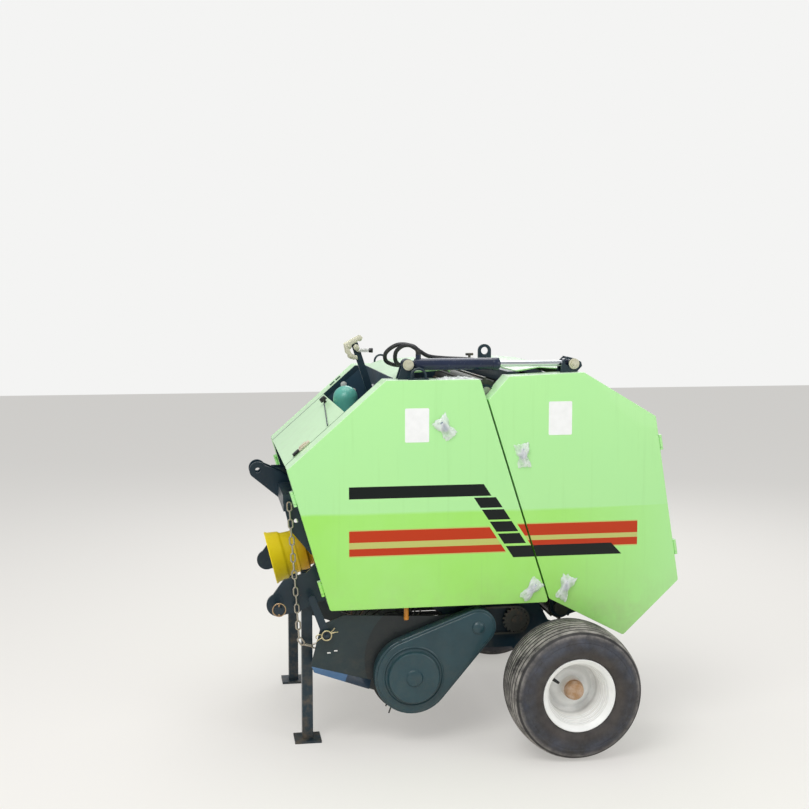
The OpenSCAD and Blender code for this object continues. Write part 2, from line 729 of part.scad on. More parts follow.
/* hydraulics */
base = [base_x, base_z];
eye = [-eye_x, eye_z];
cyl_dir = bearing(base, eye);
port_h = barrel_r + 12;
module along_cylinder() {
    translate([base_x, cyl_y, base_z]) rotate([0, -cyl_dir, 0]) children();
}
eye_r = 19;
barrel_start = 26;
port_r = 9;
base_port = 38;
gland_port = 284;
gland_port_len = 34;
module cylinder_barrel() {
    bore_r = rod_r + seat_gap;
    color([0.08, 0.10, 0.13]) place() difference() {
        union() {
            along_cylinder() translate([barrel_start, 0, 0]) rotate([0, 90, 0])
                cylinder(r = barrel_r, h = barrel_len - barrel_start);
            along_cylinder() rotate([0, 90, 0]) cylinder(r = 13, h = barrel_start + 4);
            rod_y(base, eye_r, cyl_y - 14, cyl_y + 14);
            along_cylinder() translate([base_port, 0, -port_h]) cylinder(r = port_r, h = port_h);
            along_cylinder() translate([gland_port, 0, 0]) rotate([90, 0, 0])
                cylinder(r = port_r, h = gland_port_len);
        }
        rod_y(base, cyl_pin_r + run_gap, 0, half_w);
        along_cylinder() translate([barrel_start + 12, 0, 0]) rotate([0, 90, 0])
            cylinder(r = bore_r, h = barrel_len);
    }
}
rod_reach = norm(eye - base);
module cylinder_rod() {
    color(bare_steel) place() union() {
        along_cylinder() translate([250, 0, 0]) rotate([0, 90, 0]) cylinder(r = rod_r, h = rod_reach - 262);
        rod_y(eye, 17, cyl_y - 13, cyl_y + 13);
        rod_y(eye, cyl_pin_r, cyl_y - lug_gap - lug_t - 4, cyl_y + lug_gap + lug_t + 4);
    }
}
// plates that carry the base pin, on top of the left front cabinet
bracket_t = 8;
bracket_gap = 16;
module top_brackets() {
    foot_z = deck_z - 1;
    reach = bracket_gap + bracket_t;
    color(frame_dark) place() union() {
        for (y = [cyl_y - reach, cyl_y + bracket_gap]) slab(y, bracket_t) union() {
            translate(base) circle(r = eye_r);
            polygon([base - [eye_r, 0], [base_x - 22, foot_z], [base_x + 34, foot_z], base + [eye_r, 0]]);
        }
        rod_y(base, cyl_pin_r, cyl_y - reach - 4, cyl_y + reach + 4);
    }
    color(frame_dark) place() both_sides() translate([488, 438, foot_z]) tie_ring();
}

// slotted lugs on the tailgate's top edge that take the rod eyes' pins
lug_t = 8;
lug_gap = 18;
slot_lean = 20;
slot_half = 11.5;
slot_r = cyl_pin_r + 2.3;
slot_mid = eye + [9.8, 1.9];
gate_top = inset(gate_outline, 1);
function gate_top_z(x) = gate_top[0][1] + (x - gate_top[0][0]) * (gate_top[1][1] - gate_top[0][1])
    / (gate_top[1][0] - gate_top[0][0]);
module rod_lug(y0) {
    reach = polar(slot_half, slot_lean);
    front = -eye_x + 44;
    back = -eye_x - 12;
    slab(y0, lug_t) difference() {
        polygon([[front, gate_top_z(front)], [front - 4, eye_z + 6], [-eye_x + 22, eye_z + 24],
            [-eye_x, eye_z + 18],
            [-eye_x - 26, eye_z + 6], [-eye_x - 30, eye_z - 8], [back, gate_top_z(back)]]);
        translate(slot_mid + reach) circle(r = slot_r);
        translate(slot_mid - reach) circle(r = slot_r);
        polygon(tangents(slot_mid - reach, slot_r, slot_mid + reach, slot_r));
    }
}

/* pick-up */
pick_y = 404;
pick_t = 6;
reel_shaft_r = 16;
lobe_r = 138;
feed_lobe_r = 48;
case_depth = 54;
band_pitch = band_w + band_gap;
plate_slots = [[785, 329], [762, 335]];
module pickup_plate() {
    difference() {
        slab(pick_y, pick_t) union() {
            polygon([[734, 455], [810, 426], [845, 290], [836, 267], [627, 193], reel + polar(lobe_r - 2, -70),
                reel + polar(lobe_r - 2, -110), feed + polar(feed_lobe_r - 2, -120),
                feed + polar(feed_lobe_r - 2, 100), [420, 440]]);
            translate(feed) circle(r = feed_lobe_r);
            translate(reel) circle(r = lobe_r);
        }
        rod_y(feed, journal_r + run_gap, 0, half_w);
        rod_y(reel, reel_shaft_r + run_gap, 0, half_w);
        for (c = plate_slots) translate([c[0] - 6, pick_y - 1, c[1] - 3]) cube([12, pick_t + 2, 6]);
    }
}
module pickup_side_plates() {
    color(case_dark) place() {
        union() {
            pickup_plate();
            rod_y(chain_lug, chain_pin_r, chain_y - 12, pick_y + 1);
        }
        mirror([0, 1, 0]) union() {
            pickup_plate();
            difference() {
                rod_y(reel, 38, pick_y + 1, pick_y + pick_t + 12);
                rod_y(reel, reel_shaft_r + run_gap, 0, pick_y + pick_t + 6);
            }
        }
    }
}
bar_r = 8;
band_bar = [feed_x + 64, reel_z + band_r - band_t - bar_r + 1];
module pickup_bands() {
    color(bare_steel) place() union() {
        for (i = [0:band_n - 1]) slab((i - (band_n - 1) / 2) * band_pitch - band_w / 2, band_w)
            polygon(concat(arc(reel, band_r, -100, 90, 20), [band_bar + [0, bar_r + band_t - 1],
                band_bar + [0, bar_r - 1]], arc(reel, band_r - band_t, 90, -100, 20)));
        rod_y(band_bar, bar_r, -pick_y, pick_y);
    }
}
// where the reel's arms stand across the machine
arm_at = [-330, 0, 324];
module pickup_reel() {
    columns = band_n - 1;
    bar_ring = 88;
    color(bare_steel) place() union() {
        rod_y(reel, reel_shaft_r, 1 - pick_y - pick_t, pick_y + pick_t - 1);
        for (y = arm_at) rod_y(reel, 34, y, y + 6);
        for (b = [0:bar_n - 1]) let (c = reel + polar(bar_ring, 20 + b * 360 / bar_n)) {
            rod_y(c, 8, -335, 335);
            for (y = arm_at) slab(y, 6) polygon([reel + polar(20, b * 360 / bar_n + 60),
                c + polar(9, b * 360 / bar_n + 110), c + polar(9, b * 360 / bar_n - 70),
                reel + polar(20, b * 360 / bar_n - 20)]);
            for (i = [0:columns - 1]) translate([c[0], (i - (columns - 1) / 2) * band_pitch, c[1]])
                rotate([0, 70 - b * 360 / bar_n, 0])
                    cylinder(r = tine_r, h = tine_tip_r - bar_ring, $fn = 6);
        }
    }
}
case_y = pick_y + pick_t;
module pickup_chain_case() {
    color(case_dark) place() union() {
        slab(case_y, case_depth) union() {
            translate(reel) circle(r = 130);
            translate(feed) circle(r = 62);
            polygon(tangents(reel, 130, feed, 62));
        }
        rod_y(reel, 85.5, case_y + case_depth - 2, case_y + case_depth + 22);
        rod_y(reel, 26, case_y + case_depth - 2, case_y + case_depth + 27);
        rod_y(feed, 22, case_y + case_depth - 2, case_y + case_depth + 8);
    }
}
strut_foot = [794, 394];
strut_head = [841, 516];
module pickup_strut() {
    lean = bearing(strut_foot, strut_head);
    color(frame_dark) place() union() {
        slab(case_y, 8) union() {
            translate(strut_foot) circle(r = 14);
            translate(strut_head) circle(r = 11);
            polygon(tangents(strut_foot, 14, strut_head, 11));
        }
        rod_y(strut_foot, 5, case_y, case_y + 24);
        rod_y(strut_foot, 18, case_y + 10, case_y + 14);
    }
}

/* hood over the twine box */
hood_pin_r = 5;
hood_pivot = [nose_x, nose_z] + slope * 12 + left_of(slope) * 12;
hood_y = inner_y - move_gap - sheet_t;
module hood() {
    a = [nose_x, nose_z] + left_of(slope);
    b = a + slope * hood_len;
    color(panel_green) place() difference() {
        union() {
            slab(-inner_y + move_gap, chamber_w - 2 * move_gap) polygon([a, b, b + left_of(slope) * 14,
                b + left_of(slope) * 14 - slope * sheet_t, b + left_of(slope) * sheet_t - slope * sheet_t,
                a + left_of(slope) * sheet_t]);
            both_sides() slab(hood_y, sheet_t) union() {
                polygon([a, b, b + left_of(slope) * 14, hood_pivot + left_of(slope) * 9]);
                translate(hood_pivot) circle(r = 10);
            }
        }
        rod_y(hood_pivot, hood_pin_r + run_gap, -inner_y, inner_y);
    }
}

/* side doors: a skin with a folded edge, and two knuckles on the hinge edge */
module door(outline, a, b, side) {
    color(panel_green) place() on_side(side) difference() {
        union() {
            difference() {
                slab(door_y, door_t) polygon(outline);
                slab(door_y - 1, door_t - sheet_t + 1) polygon(inset(outline, door_fold));
            }
            for (t = knuckle_at) at_edge(a, b, t) {
                translate([0, 0, -knuckle_len / 2]) cylinder(r = knuckle_r, h = knuckle_len);
                translate([-hinge_off - 2, -1, -knuckle_len / 2]) cube([hinge_off + 2, 3, knuckle_len]);
            }
        }
        for (t = knuckle_at) at_edge(a, b, t)
            translate([0, 0, -knuckle_len]) cylinder(r = hinge_pin_r + run_gap, h = 2 * knuckle_len);
    }
}
module door_front_left() { door(front_outline, front_edge[0], front_edge[1], 1); }
module door_front_right() { door(front_outline, front_edge[0], front_edge[1], -1); }
module door_gate_left() { door(gate_outline, gate_edge[0], gate_edge[1], 1); }
module door_gate_right() { door(gate_outline, gate_edge[0], gate_edge[1], -1); }

/* parking legs in square sockets on the lower hitch plates */
leg_top = 592;
foot_t = 8;
foot_a = 90;
lock_r = 6.5;
lock_z = 560;
module parking_leg(side) {
    color(frame_dark) place() on_side(side) difference() {
        union() {
            translate([leg_x - leg_a / 2, leg_y - leg_a / 2, ground_z + foot_t / 2])
                cube([leg_a, leg_a, leg_top - ground_z - foot_t / 2]);
            translate([leg_x - foot_a / 2, leg_y - foot_a / 2, ground_z]) cube([foot_a, foot_a, foot_t]);
        }
        for (z = [lock_z, lock_z - leg_travel]) translate([leg_x - leg_a, leg_y, z]) rotate([0, 90, 0])
            cylinder(r = lock_r, h = 2 * leg_a);
    }
}
module parking_leg_left() { parking_leg(1); }
module parking_leg_right() { parking_leg(-1); }

/* hydraulic hoses: points chosen by hand from the cylinder's ports to the block on the deck; each
   starts and ends with a short straight piece, square to its port */
hose_r = 7;
hose_paths = [
    [[481, 392, 1321.3], [481, 392, 1326], [484, 391, 1338], [500, 384, 1350], [526, 366, 1350],
        [547, 344, 1330], [547, 322, 1300], [530, 306, 1283], [502, 302, 1279],
        [hose_block_x + 6, 302, 1279], [hose_block_x + seat_gap, 302, 1279]],
    [[235, 357.7, 1288.5], [235, 353, 1288.5], [239, 342, 1291], [256, 336, 1296], [310, 336, 1302],
        [380, 340, 1306], [436, 346, 1313], [468, 350, 1330], [504, 348, 1351], [545, 337, 1351],
        [578, 322, 1326], [577, 304, 1298], [550, 291, 1283], [512, 286, 1279],
        [hose_block_x + 6, 286, 1279], [hose_block_x + seat_gap, 286, 1279]]];
// frames along a path: each ring is square to the mean direction of its neighbours
function along(p, i) = unit(p[min(i + 1, len(p) - 1)] - p[max(i - 1, 0)]);
function ring3(c, d, r, n) = let (u = unit(cross(d, [0.2, 0.1, 0.97])), v = cross(d, u))
    [for (k = [0:n - 1]) c + r * (cos(k * 360 / n) * u + sin(k * 360 / n) * v)];
function smooth(p, n) = [for (i = [0:len(p) - 2]) each let (a = p[max(i - 1, 0)], b = p[i], c = p[i + 1],
    d = p[min(i + 2, len(p) - 1)]) [for (k = [0:n - 1]) let (t = k / n)
    0.5 * (2 * b + (c - a) * t + (2 * a - 5 * b + 4 * c - d) * t * t + (3 * b - a - 3 * c + d) * t * t * t)]];
module tube(p, r, n) {
    m = len(p);
    polyhedron(points = [for (i = [0:m - 1]) each ring3(p[i], along(p, i), r, n)],
        faces = concat([[for (k = [0:n - 1]) k]],
            [for (i = [0:m - 2], k = [0:n - 1])
                [i * n + k, (i + 1) * n + k, (i + 1) * n + (k + 1) % n, i * n + (k + 1) % n]],
            [[for (k = [n - 1:-1:0]) (m - 1) * n + k]]));
}
function between_ends(p) = [for (i = [1:len(p) - 2]) p[i]];
module hoses() {
    color([0.05, 0.05, 0.06]) place() for (p = hose_paths) let (last = len(p) - 1)
        tube(concat([p[0]], smooth(between_ends(p), 3), [p[last - 1], p[last]]), hose_r, 8);
}

/* lift chain: links in turn in the XZ plane and across it */
wire_r = 2.75;
link_len = 34.5;
link_bend_r = 7;
chain_y = 382;
chain_pin_r = 3.75;
hook = [912, 832];
link_step = 2 * wire_r + seat_gap;
// lean of each link from straight down, towards the back
link_leans = concat([for (i = [0:15]) 3.7], [35, 75, 100]);
function link_dir(i) = [-sin(link_leans[i]), -cos(link_leans[i])];
// where each link's upper end lies
function link_starts(i, s) = i == len(link_leans) - 1 ? [s] :
    let (e = s + link_dir(i) * link_len, d = i % 2 == 0 ? link_dir(i) : link_dir(i + 1))
    concat([s], link_starts(i + 1, e - d * link_step));
chain_points = link_starts(0, hook + [0, chain_pin_r + wire_r + seat_gap]);
last_link = len(link_leans) - 1;
chain_lug = chain_points[last_link] + link_dir(last_link) * (link_len - chain_pin_r - wire_r - seat_gap);
module chain_link() {
    straight = link_len - 2 * link_bend_r;
    for (m = [0, 1]) translate([0, 0, -link_len / 2]) mirror([0, 0, m])
        translate([0, 0, -link_len / 2 + link_bend_r])
        mirror([0, 0, 1]) rotate([90, 0, 0]) rotate_extrude(angle = 180, $fn = 16)
            translate([link_bend_r, 0]) circle(r = wire_r, $fn = 6);
    for (x = [-link_bend_r, link_bend_r]) translate([x, 0, -link_len + link_bend_r]) rotate(0)
        cylinder(r = wire_r, h = straight, $fn = 6);
}
module lift_chain() {
    color(zinc_steel) place() for (i = [0:last_link])
        translate([chain_points[i][0], chain_y, chain_points[i][1]]) rotate([0, link_leans[i], 0])
            rotate([0, 0, i % 2 == 0 ? 0 : 90]) chain_link();
}

front_side_plates();
cross_members();
axle_beam();
hitch_mast();
lower_hitch_plates();
gearbox();
shaft_guard();
input_shaft();
front_rollers();
front_cabinet_left();
front_cabinet_right();
front_drive();
twine_box();
twine_canister();
twine_tensioner();
tensioner_post();
front_deck();
hoses();
lift_chain();
pivot_pins();
top_brackets();
wheel_tyre_left();
wheel_tyre_right();
wheel_rim_left();
wheel_rim_right();
gate_side_plates();
gate_rollers();
gate_cross_members();
gate_deck();
gate_cabinet_left();
gate_cabinet_right();
gate_drive();
cylinder_barrel();
cylinder_rod();
pickup_side_plates();
pickup_bands();
pickup_chain_case();
pickup_strut();
pickup_reel();
hood();
door_front_left();
door_front_right();
door_gate_left();
door_gate_right();
parking_leg_left();
parking_leg_right();
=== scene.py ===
"""Looks of the round baler: paint, rubber, bare metal and the small pieces on its CAD frame."""

import json
from math import acos, atan2, cos, exp, hypot, pi, radians, sin, tan

import bmesh
import bpy
from mathutils import Euler, Matrix, Vector
from mathutils.noise import noise

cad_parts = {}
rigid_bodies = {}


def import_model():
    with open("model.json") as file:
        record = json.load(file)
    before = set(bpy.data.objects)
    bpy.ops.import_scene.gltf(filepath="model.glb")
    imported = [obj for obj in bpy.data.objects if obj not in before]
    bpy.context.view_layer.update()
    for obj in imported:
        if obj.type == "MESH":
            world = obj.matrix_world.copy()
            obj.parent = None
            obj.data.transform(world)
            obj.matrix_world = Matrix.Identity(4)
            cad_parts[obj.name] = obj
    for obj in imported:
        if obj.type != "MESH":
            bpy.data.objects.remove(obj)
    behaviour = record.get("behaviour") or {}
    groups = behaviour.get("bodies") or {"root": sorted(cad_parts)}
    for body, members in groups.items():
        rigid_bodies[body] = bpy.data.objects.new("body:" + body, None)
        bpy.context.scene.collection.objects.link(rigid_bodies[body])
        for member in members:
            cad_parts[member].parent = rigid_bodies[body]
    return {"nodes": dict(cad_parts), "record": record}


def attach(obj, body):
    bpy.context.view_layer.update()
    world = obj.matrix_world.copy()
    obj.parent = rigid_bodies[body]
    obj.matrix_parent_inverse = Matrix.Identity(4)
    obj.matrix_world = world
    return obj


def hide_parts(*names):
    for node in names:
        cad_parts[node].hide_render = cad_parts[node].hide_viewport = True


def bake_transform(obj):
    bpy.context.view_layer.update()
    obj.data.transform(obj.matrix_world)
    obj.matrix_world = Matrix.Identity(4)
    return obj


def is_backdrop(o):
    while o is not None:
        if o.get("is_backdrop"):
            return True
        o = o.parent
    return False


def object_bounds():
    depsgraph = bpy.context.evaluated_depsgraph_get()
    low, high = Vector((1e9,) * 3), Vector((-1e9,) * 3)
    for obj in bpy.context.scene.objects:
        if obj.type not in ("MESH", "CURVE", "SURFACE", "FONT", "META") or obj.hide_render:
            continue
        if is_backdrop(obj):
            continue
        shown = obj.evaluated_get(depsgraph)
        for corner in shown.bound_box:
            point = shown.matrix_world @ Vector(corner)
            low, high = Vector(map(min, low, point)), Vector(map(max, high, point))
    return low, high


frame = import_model()
lo_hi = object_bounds()

# Places are written as the machine is drawn: millimetres about the wheel axle, then moved to the frame.
MM = 0.001
AXLE_BACK = 309.5
GROUND_Z = 7.5


def at(x, y, z):
    """A place as the machine is drawn, in millimetres, as a point of the frame in metres."""
    return Vector(((x - AXLE_BACK) * MM, y * MM, (z - GROUND_Z) * MM))


# Sizes that the pieces share with the solids, in millimetres
AXLE_Z = 228.5
WHEEL_Y = 586.5
TYRE_W = 215.0
TYRE_R = 221.0
BEAD_R = 106.5
FLANGE_R = 121.0
DOOR_IN = 458.0
DOOR_OUT = 470.0
DOOR_WALL = 3.0
NOSE = (924.0, 955.0)
BROW = (600.0, 1242.0)
BELLY = (786.0, 487.0)
CREST = (189.0, 1251.0)
CROWN = (-66.0, 1262.0)
SHOULDER = (-319.0, 1111.0)
TAIL = (-409.0, 547.0)
HEEL = (-216.0, 363.0)
LIP_Z = 499.0
NOTCH_Z = 1174.0
SPLIT_LEAN = radians(17.6)
SPLIT_HALF = 3.0
CHAMBER = (145.0, 805.0)
CYL_Y = 392.0
CYL_BASE = (519.0, 1289.0)
CYL_EYE = (-45.0, 1288.0)
BARREL_LEN = 309.0
CHAIN_Y = 382.0
REEL = (508.0, 252.0)
FEED = (287.0, 408.0)
CASE_IN = 410.0
CASE_OUT = 464.0


def on_split(z, off):
    """Side point on the split between front body and tailgate, moved forward by off."""
    x = CHAMBER[0] + (z - CHAMBER[1]) * tan(SPLIT_LEAN) + off / cos(SPLIT_LEAN)
    return (x, z)


FRONT_OUTLINE = [NOSE, BROW, on_split(BROW[1], SPLIT_HALF), on_split(BELLY[1], SPLIT_HALF), BELLY]
GATE_OUTLINE = [CREST, CROWN, SHOULDER, TAIL, HEEL, on_split(LIP_Z, -SPLIT_HALF), on_split(NOTCH_Z, -SPLIT_HALF)]


# Node trees: every value in them is a Flow, and every node comes from Tree.add

def operator(operation, swapped=False):
    """What a sign between two values of a node tree does."""
    def work(self, other):
        return self.tree.math(operation, *((other, self) if swapped else (self, other)))
    return work


class Flow:
    """An output of a node, by number or name: a value that takes part in sums."""

    def __init__(self, tree, node, key=0):
        self.tree = tree
        self.node = node
        self.key = key

    def __getitem__(self, key):
        return Flow(self.tree, self.node, key)

    def math(self, operation, *others):
        return self.tree.math(operation, self, *others)

    __add__ = __radd__ = operator("ADD")
    __sub__ = operator("SUBTRACT")
    __rsub__ = operator("SUBTRACT", swapped=True)
    __mul__ = operator("MULTIPLY")
    __truediv__ = operator("DIVIDE")

    def over(self, low, soft=0.0004):
        """1 where the value is above low, with an edge of the width soft."""
        return self.tree.ramp(self, low - soft, low + soft)

    def under(self, high, soft=0.0004):
        return 1.0 - self.over(high, soft)

    def within(self, low, high, soft=0.0004):
        return self.over(low, soft) * self.under(high, soft)


class Tree:
    """A node tree under construction."""

    def __init__(self, data):
        self.data = data

    def add(self, kind, sockets=None, **settings):
        """A new node, with values or flows at its inputs."""
        node = self.data.nodes.new(kind)
        for key, value in settings.items():
            setattr(node, key, value)
        for key, value in (sockets or {}).items():
            if isinstance(value, Flow):
                self.data.links.new(value.node.outputs[value.key], node.inputs[key])
            else:
                node.inputs[key].default_value = value
        return Flow(self, node)

    def math(self, operation, *values):
        return self.add("ShaderNodeMath", dict(enumerate(values)), operation=operation)


class Finish(Tree):
    """The nodes of a material, or of the world."""

    def __init__(self, name, kind="materials"):
        self.owner = getattr(bpy.data, kind).new(name)
        self.owner.use_nodes = True
        super().__init__(self.owner.node_tree)
        self.data.nodes.clear()
        self.colour = self._place = None

    @property
    def place(self):
        """The point on the piece, in metres of the frame."""
        if self._place is None:
            self._place = self.add("ShaderNodeTexCoord")["Object"]
        return self._place

    def axes(self):
        """The place as the machine is drawn, in metres."""
        split = self.add("ShaderNodeSeparateXYZ", {0: self.place})
        return split[0] + AXLE_BACK * MM, split[1], split[2] + GROUND_Z * MM

    def away_from(self, centre_x, centre_z):
        """The distance from a line across the machine, in metres."""
        x, _, z = self.axes()
        return ((x - centre_x).math("POWER", 2.0) + (z - centre_z).math("POWER", 2.0)).math("SQRT")

    def facing_up(self):
        """1 on a flat top and 0 on an upright side, before any bump."""
        direction = self.add("ShaderNodeTexCoord")["Normal"]
        return self.add("ShaderNodeSeparateXYZ", {0: direction})[2]

    def stretched(self, x, y, z):
        return self.add("ShaderNodeMapping", {"Vector": self.place, "Scale": (x, y, z)})

    def noise(self, scale, detail, rough, vector=None):
        sockets = {"Vector": vector or self.place, "Scale": scale, "Detail": detail, "Roughness": rough}
        return self.add("ShaderNodeTexNoise", sockets)

    def cracks(self, scale, vector=None):
        """The distance to the nearest edge between cells."""
        return self.add("ShaderNodeTexVoronoi", {"Vector": vector or self.place, "Scale": scale},
                        feature="DISTANCE_TO_EDGE")

    def ramp(self, value, low, high, to_low=0.0, to_high=1.0):
        sockets = {0: value, 1: low, 2: high, 3: to_low, 4: to_high}
        return self.add("ShaderNodeMapRange", sockets, clamp=True)

    def mix(self, mask, *colours):
        """One colour where the mask is 0, the other where it is 1."""
        a, b = (tint(c) if isinstance(c, str) else c for c in colours)
        return self.add("ShaderNodeMix", {0: mask, 6: a, 7: b}, data_type="RGBA")[2]

    def lay(self, mask, colour):
        """Puts a colour over those so far, where the mask says."""
        self.colour = self.mix(mask, self.colour, colour)

    def bump(self, height, strength, distance):
        return self.add("ShaderNodeBump", {"Height": height, "Strength": strength, "Distance": distance})

    def surface(self, **sockets):
        """Ends the material in one principled shader."""
        named = {key.replace("_", " ").title().replace("Ior", "IOR"): value for key, value in sockets.items()}
        shader = self.add("ShaderNodeBsdfPrincipled", {"Base Color": self.colour} | named)
        self.add("ShaderNodeOutputMaterial", {0: shader})
        return self.owner


def tint(code, share=1.0):
    """A web code, made lighter or darker, as the linear values that shaders take."""
    parts = [int(code[i:i + 2], 16) / 255 for i in (0, 2, 4)]
    linear = [c / 12.92 if c <= 0.04045 else ((c + 0.055) / 1.055) ** 2.4 for c in parts]
    return tuple(min(1.0, c * share) for c in linear) + (1.0,)


# Colours of the paint and the metals; the pale green stands for a painted reflection of the sky on the green paint
PALE_SKY_REFLECTION_GREEN = "B2EC9E"
LEAF_GREEN = "A2E766"
# Painted highlight for faces that point up, and a grey tone laid on flat tops by facing
UPWARD_HIGHLIGHT_GREEN = "E2F9DA"
FLAT_TOP = "A3B8A8"
EDGE_YELLOW = "C6B868"
BAND_RED = "BE3506"
BAND_BLACK = "020D08"
FRAME_PAINT = "03202C"
CASE_PAINT = "1A383F"
PLATE_PAINT = "132629"
DUST = "A79C86"
EARTH = "8A7558"
RUST = "7A4526"
STEEL = "B9B9B4"
ZINC = "D9CBA0"

# Stripes on the doors, in metres about the axle: heights, ends and the lean of the slanted cuts
STRIPES_FROM_Y = 0.466
STRIPE_LEAN = 0.66
LEAN_FROM_Z = 0.850
LADDER = (0.232, 0.307)
LADDER_PITCH = 0.041
LADDER_BAR = 0.035
LADDER_END = 3.94
LADDER_GAP = 0.012
TOP_BAND = (0.855, 0.895)
STRIPES_FRONT_END = 0.723
STRIPES_REAR_END = -0.260
RED_FRONT = ((0.711, 0.749), (0.666, 0.690))
RED_REAR = ((0.717, 0.756), (0.676, 0.701))
RED_EDGE = 0.0035
LOW_BAND = (0.645, 0.684)
LOW_BAND_END = -0.205
LOW_BAND_LEAN = 0.95

# Where the leaf green turns to the pale green of the painted sky reflection, in metres: heights on the doors, and
# places towards the rear
SKY_REFLECTION_FROM_Z = (0.806, 0.816)
PALE_FROM_X = (0.06, -0.38)


def stripes(f):
    """Masks of the red and the black stripes of a door."""
    x, y, z = f.axes()
    lean = x - (z - LEAN_FROM_Z) * STRIPE_LEAN
    side = y.math("ABSOLUTE").over(STRIPES_FROM_Y, 0.0002)
    down = (LEAN_FROM_Z - z) / LADDER_PITCH
    bars = down.math("FRACT").under(LADDER_BAR / LADDER_PITCH, 0.008)
    ladder = lean.within(*LADDER) * down.within(0.0, LADDER_END, 0.004) * bars
    top = z.within(*TOP_BAND) * x.under(STRIPES_FRONT_END) * lean.over(LADDER[0] + LADDER_GAP)
    cut = x - (z - LOW_BAND[0]) * LOW_BAND_LEAN
    low = z.within(*LOW_BAND) * lean.under(LADDER[1]) * cut.over(LOW_BAND_END)
    front = x.under(STRIPES_FRONT_END) * lean.over(LADDER[1] + LADDER_GAP)
    rear = x.over(STRIPES_REAR_END) * lean.under(LADDER[0] - LADDER_GAP)
    red = sum((z.within(*band) * front for band in RED_FRONT), 0.0)
    red = red + sum((z.within(*band) * rear for band in RED_REAR), 0.0)
    black = ladder.math("MAXIMUM", top).math("MAXIMUM", low)
    edge_front = z.within(RED_FRONT[1][0] - RED_EDGE, RED_FRONT[0][1] + RED_EDGE) * front
    edge_rear = z.within(RED_REAR[1][0] - RED_EDGE, RED_REAR[0][1] + RED_EDGE) * rear
    return red * side, black * side, (edge_front + edge_rear) * side


def green_paint(name, striped=False):
    f = Finish(name)
    x, _, z = f.axes()
    up = f.facing_up()
    cloud = f.noise(2.6, 4, 0.6)
    # Painted reflection: the paint turns pale green above the height where the sky's reflection begins, and towards
    # the rear
    high = f.ramp(z + cloud * 0.012, *SKY_REFLECTION_FROM_Z)
    rear = f.ramp(x + cloud * 0.06, *PALE_FROM_X, 0.0, 0.9)
    f.colour = f.mix(high.math("MAXIMUM", rear), LEAF_GREEN, PALE_SKY_REFLECTION_GREEN)
    f.lay(f.ramp(cloud, 0.35, 0.75, 0.0, 0.35), "B9EF9B")
    # Painted highlight: faces that point up are lightened to a near-white green; flat tops are then greyed a
    # little, also painted light by facing
    f.lay(f.ramp(up, 0.2, 0.9, 0.0, 0.75), UPWARD_HIGHLIGHT_GREEN)
    f.lay(f.ramp(up, 0.85, 0.98, 0.0, 0.3), FLAT_TOP)
    streak = f.ramp(f.noise(1, 4, 0.6, f.stretched(55, 55, 2.2)), 0.56, 0.74, 0.0, 0.12)
    f.lay(streak, "8FC873")
    coat = 0.25
    if striped:
        red, black, edge = stripes(f)
        worn = f.ramp(f.noise(70, 4, 0.7), 0.22, 0.27, 0.75, 1.0)
        f.lay(edge * 0.8, EDGE_YELLOW)
        f.lay(red * worn, BAND_RED)
        f.lay(black * worn, BAND_BLACK)
        coat = 0.25 - black.math("MAXIMUM", red) * 0.22
    low_dust = f.ramp(z, 0.62, 0.40, 0.0, 0.35) * f.ramp(f.noise(9, 5, 0.65), 0.42, 0.75)
    f.lay(low_dust, DUST)
    top_dust = f.ramp(up, 0.6, 0.95) * f.ramp(f.noise(14, 5, 0.6), 0.45, 0.8, 0.0, 0.3)
    f.lay(top_dust, DUST)
    scuff = f.ramp(f.noise(1, 5, 0.75, f.stretched(30, 30, 240)), 0.66, 0.74, 0.0, 0.25)
    rough = 0.30 + f.ramp(f.noise(38, 3, 0.6), 0.3, 0.8, 0.0, 0.14) + low_dust * 0.4 + scuff * 0.4
    peel = f.noise(420, 2, 0.5) * 0.4 + f.noise(5, 2, 0.5) * 6
    return f.surface(roughness=rough, coat_weight=coat, specular_ior_level=0.33,
                     normal=f.bump(peel, 0.10, 0.0008))


def dark_paint(name, colour, sheen, dusty, chipped=0.25, earthy=0.5, painted_shadow=None):
    """Gloss paint on plate and castings, with dust above, earth below and chips that show rust.

    The last argument is the centre x, the centre z and the radius of a round painted shadow, nearly black.
    """
    f = Finish(name)
    z = f.axes()[2]
    up = f.facing_up()
    f.colour = f.mix(f.ramp(f.noise(7, 4, 0.6), 0.3, 0.75, 0.0, 0.8), colour, tint(colour, 1.7))
    if painted_shadow:
        # Painted shadow: a round part made nearly black
        f.lay(f.away_from(*painted_shadow[:2]).under(painted_shadow[2], 0.001) * 0.8, "0B1214")
    chips = f.ramp(f.noise(60, 5, 0.75), 0.66, 0.70) * f.ramp(f.noise(6, 3, 0.5), 0.48, 0.62, 0.0, chipped * 2)
    f.lay(chips, RUST)
    dust = f.ramp(up, 0.1, 0.95, 0.12, 1.0) * f.ramp(f.noise(18, 5, 0.65), 0.38, 0.78) * dusty
    earth = f.ramp(z, 0.45, 0.12, 0.0, earthy) * f.ramp(f.noise(26, 5, 0.7), 0.45, 0.75)
    f.lay(dust, DUST)
    f.lay(earth, EARTH)
    rough = sheen + dust * 0.5 + earth * 0.5 + f.ramp(f.noise(70, 3, 0.6), 0.3, 0.8, 0.0, 0.15)
    height = f.noise(160, 3, 0.6) + f.noise(24, 2, 0.5) * 3 - chips * 2
    return f.surface(roughness=rough, coat_weight=0.15, normal=f.bump(height, 0.16, 0.0008))


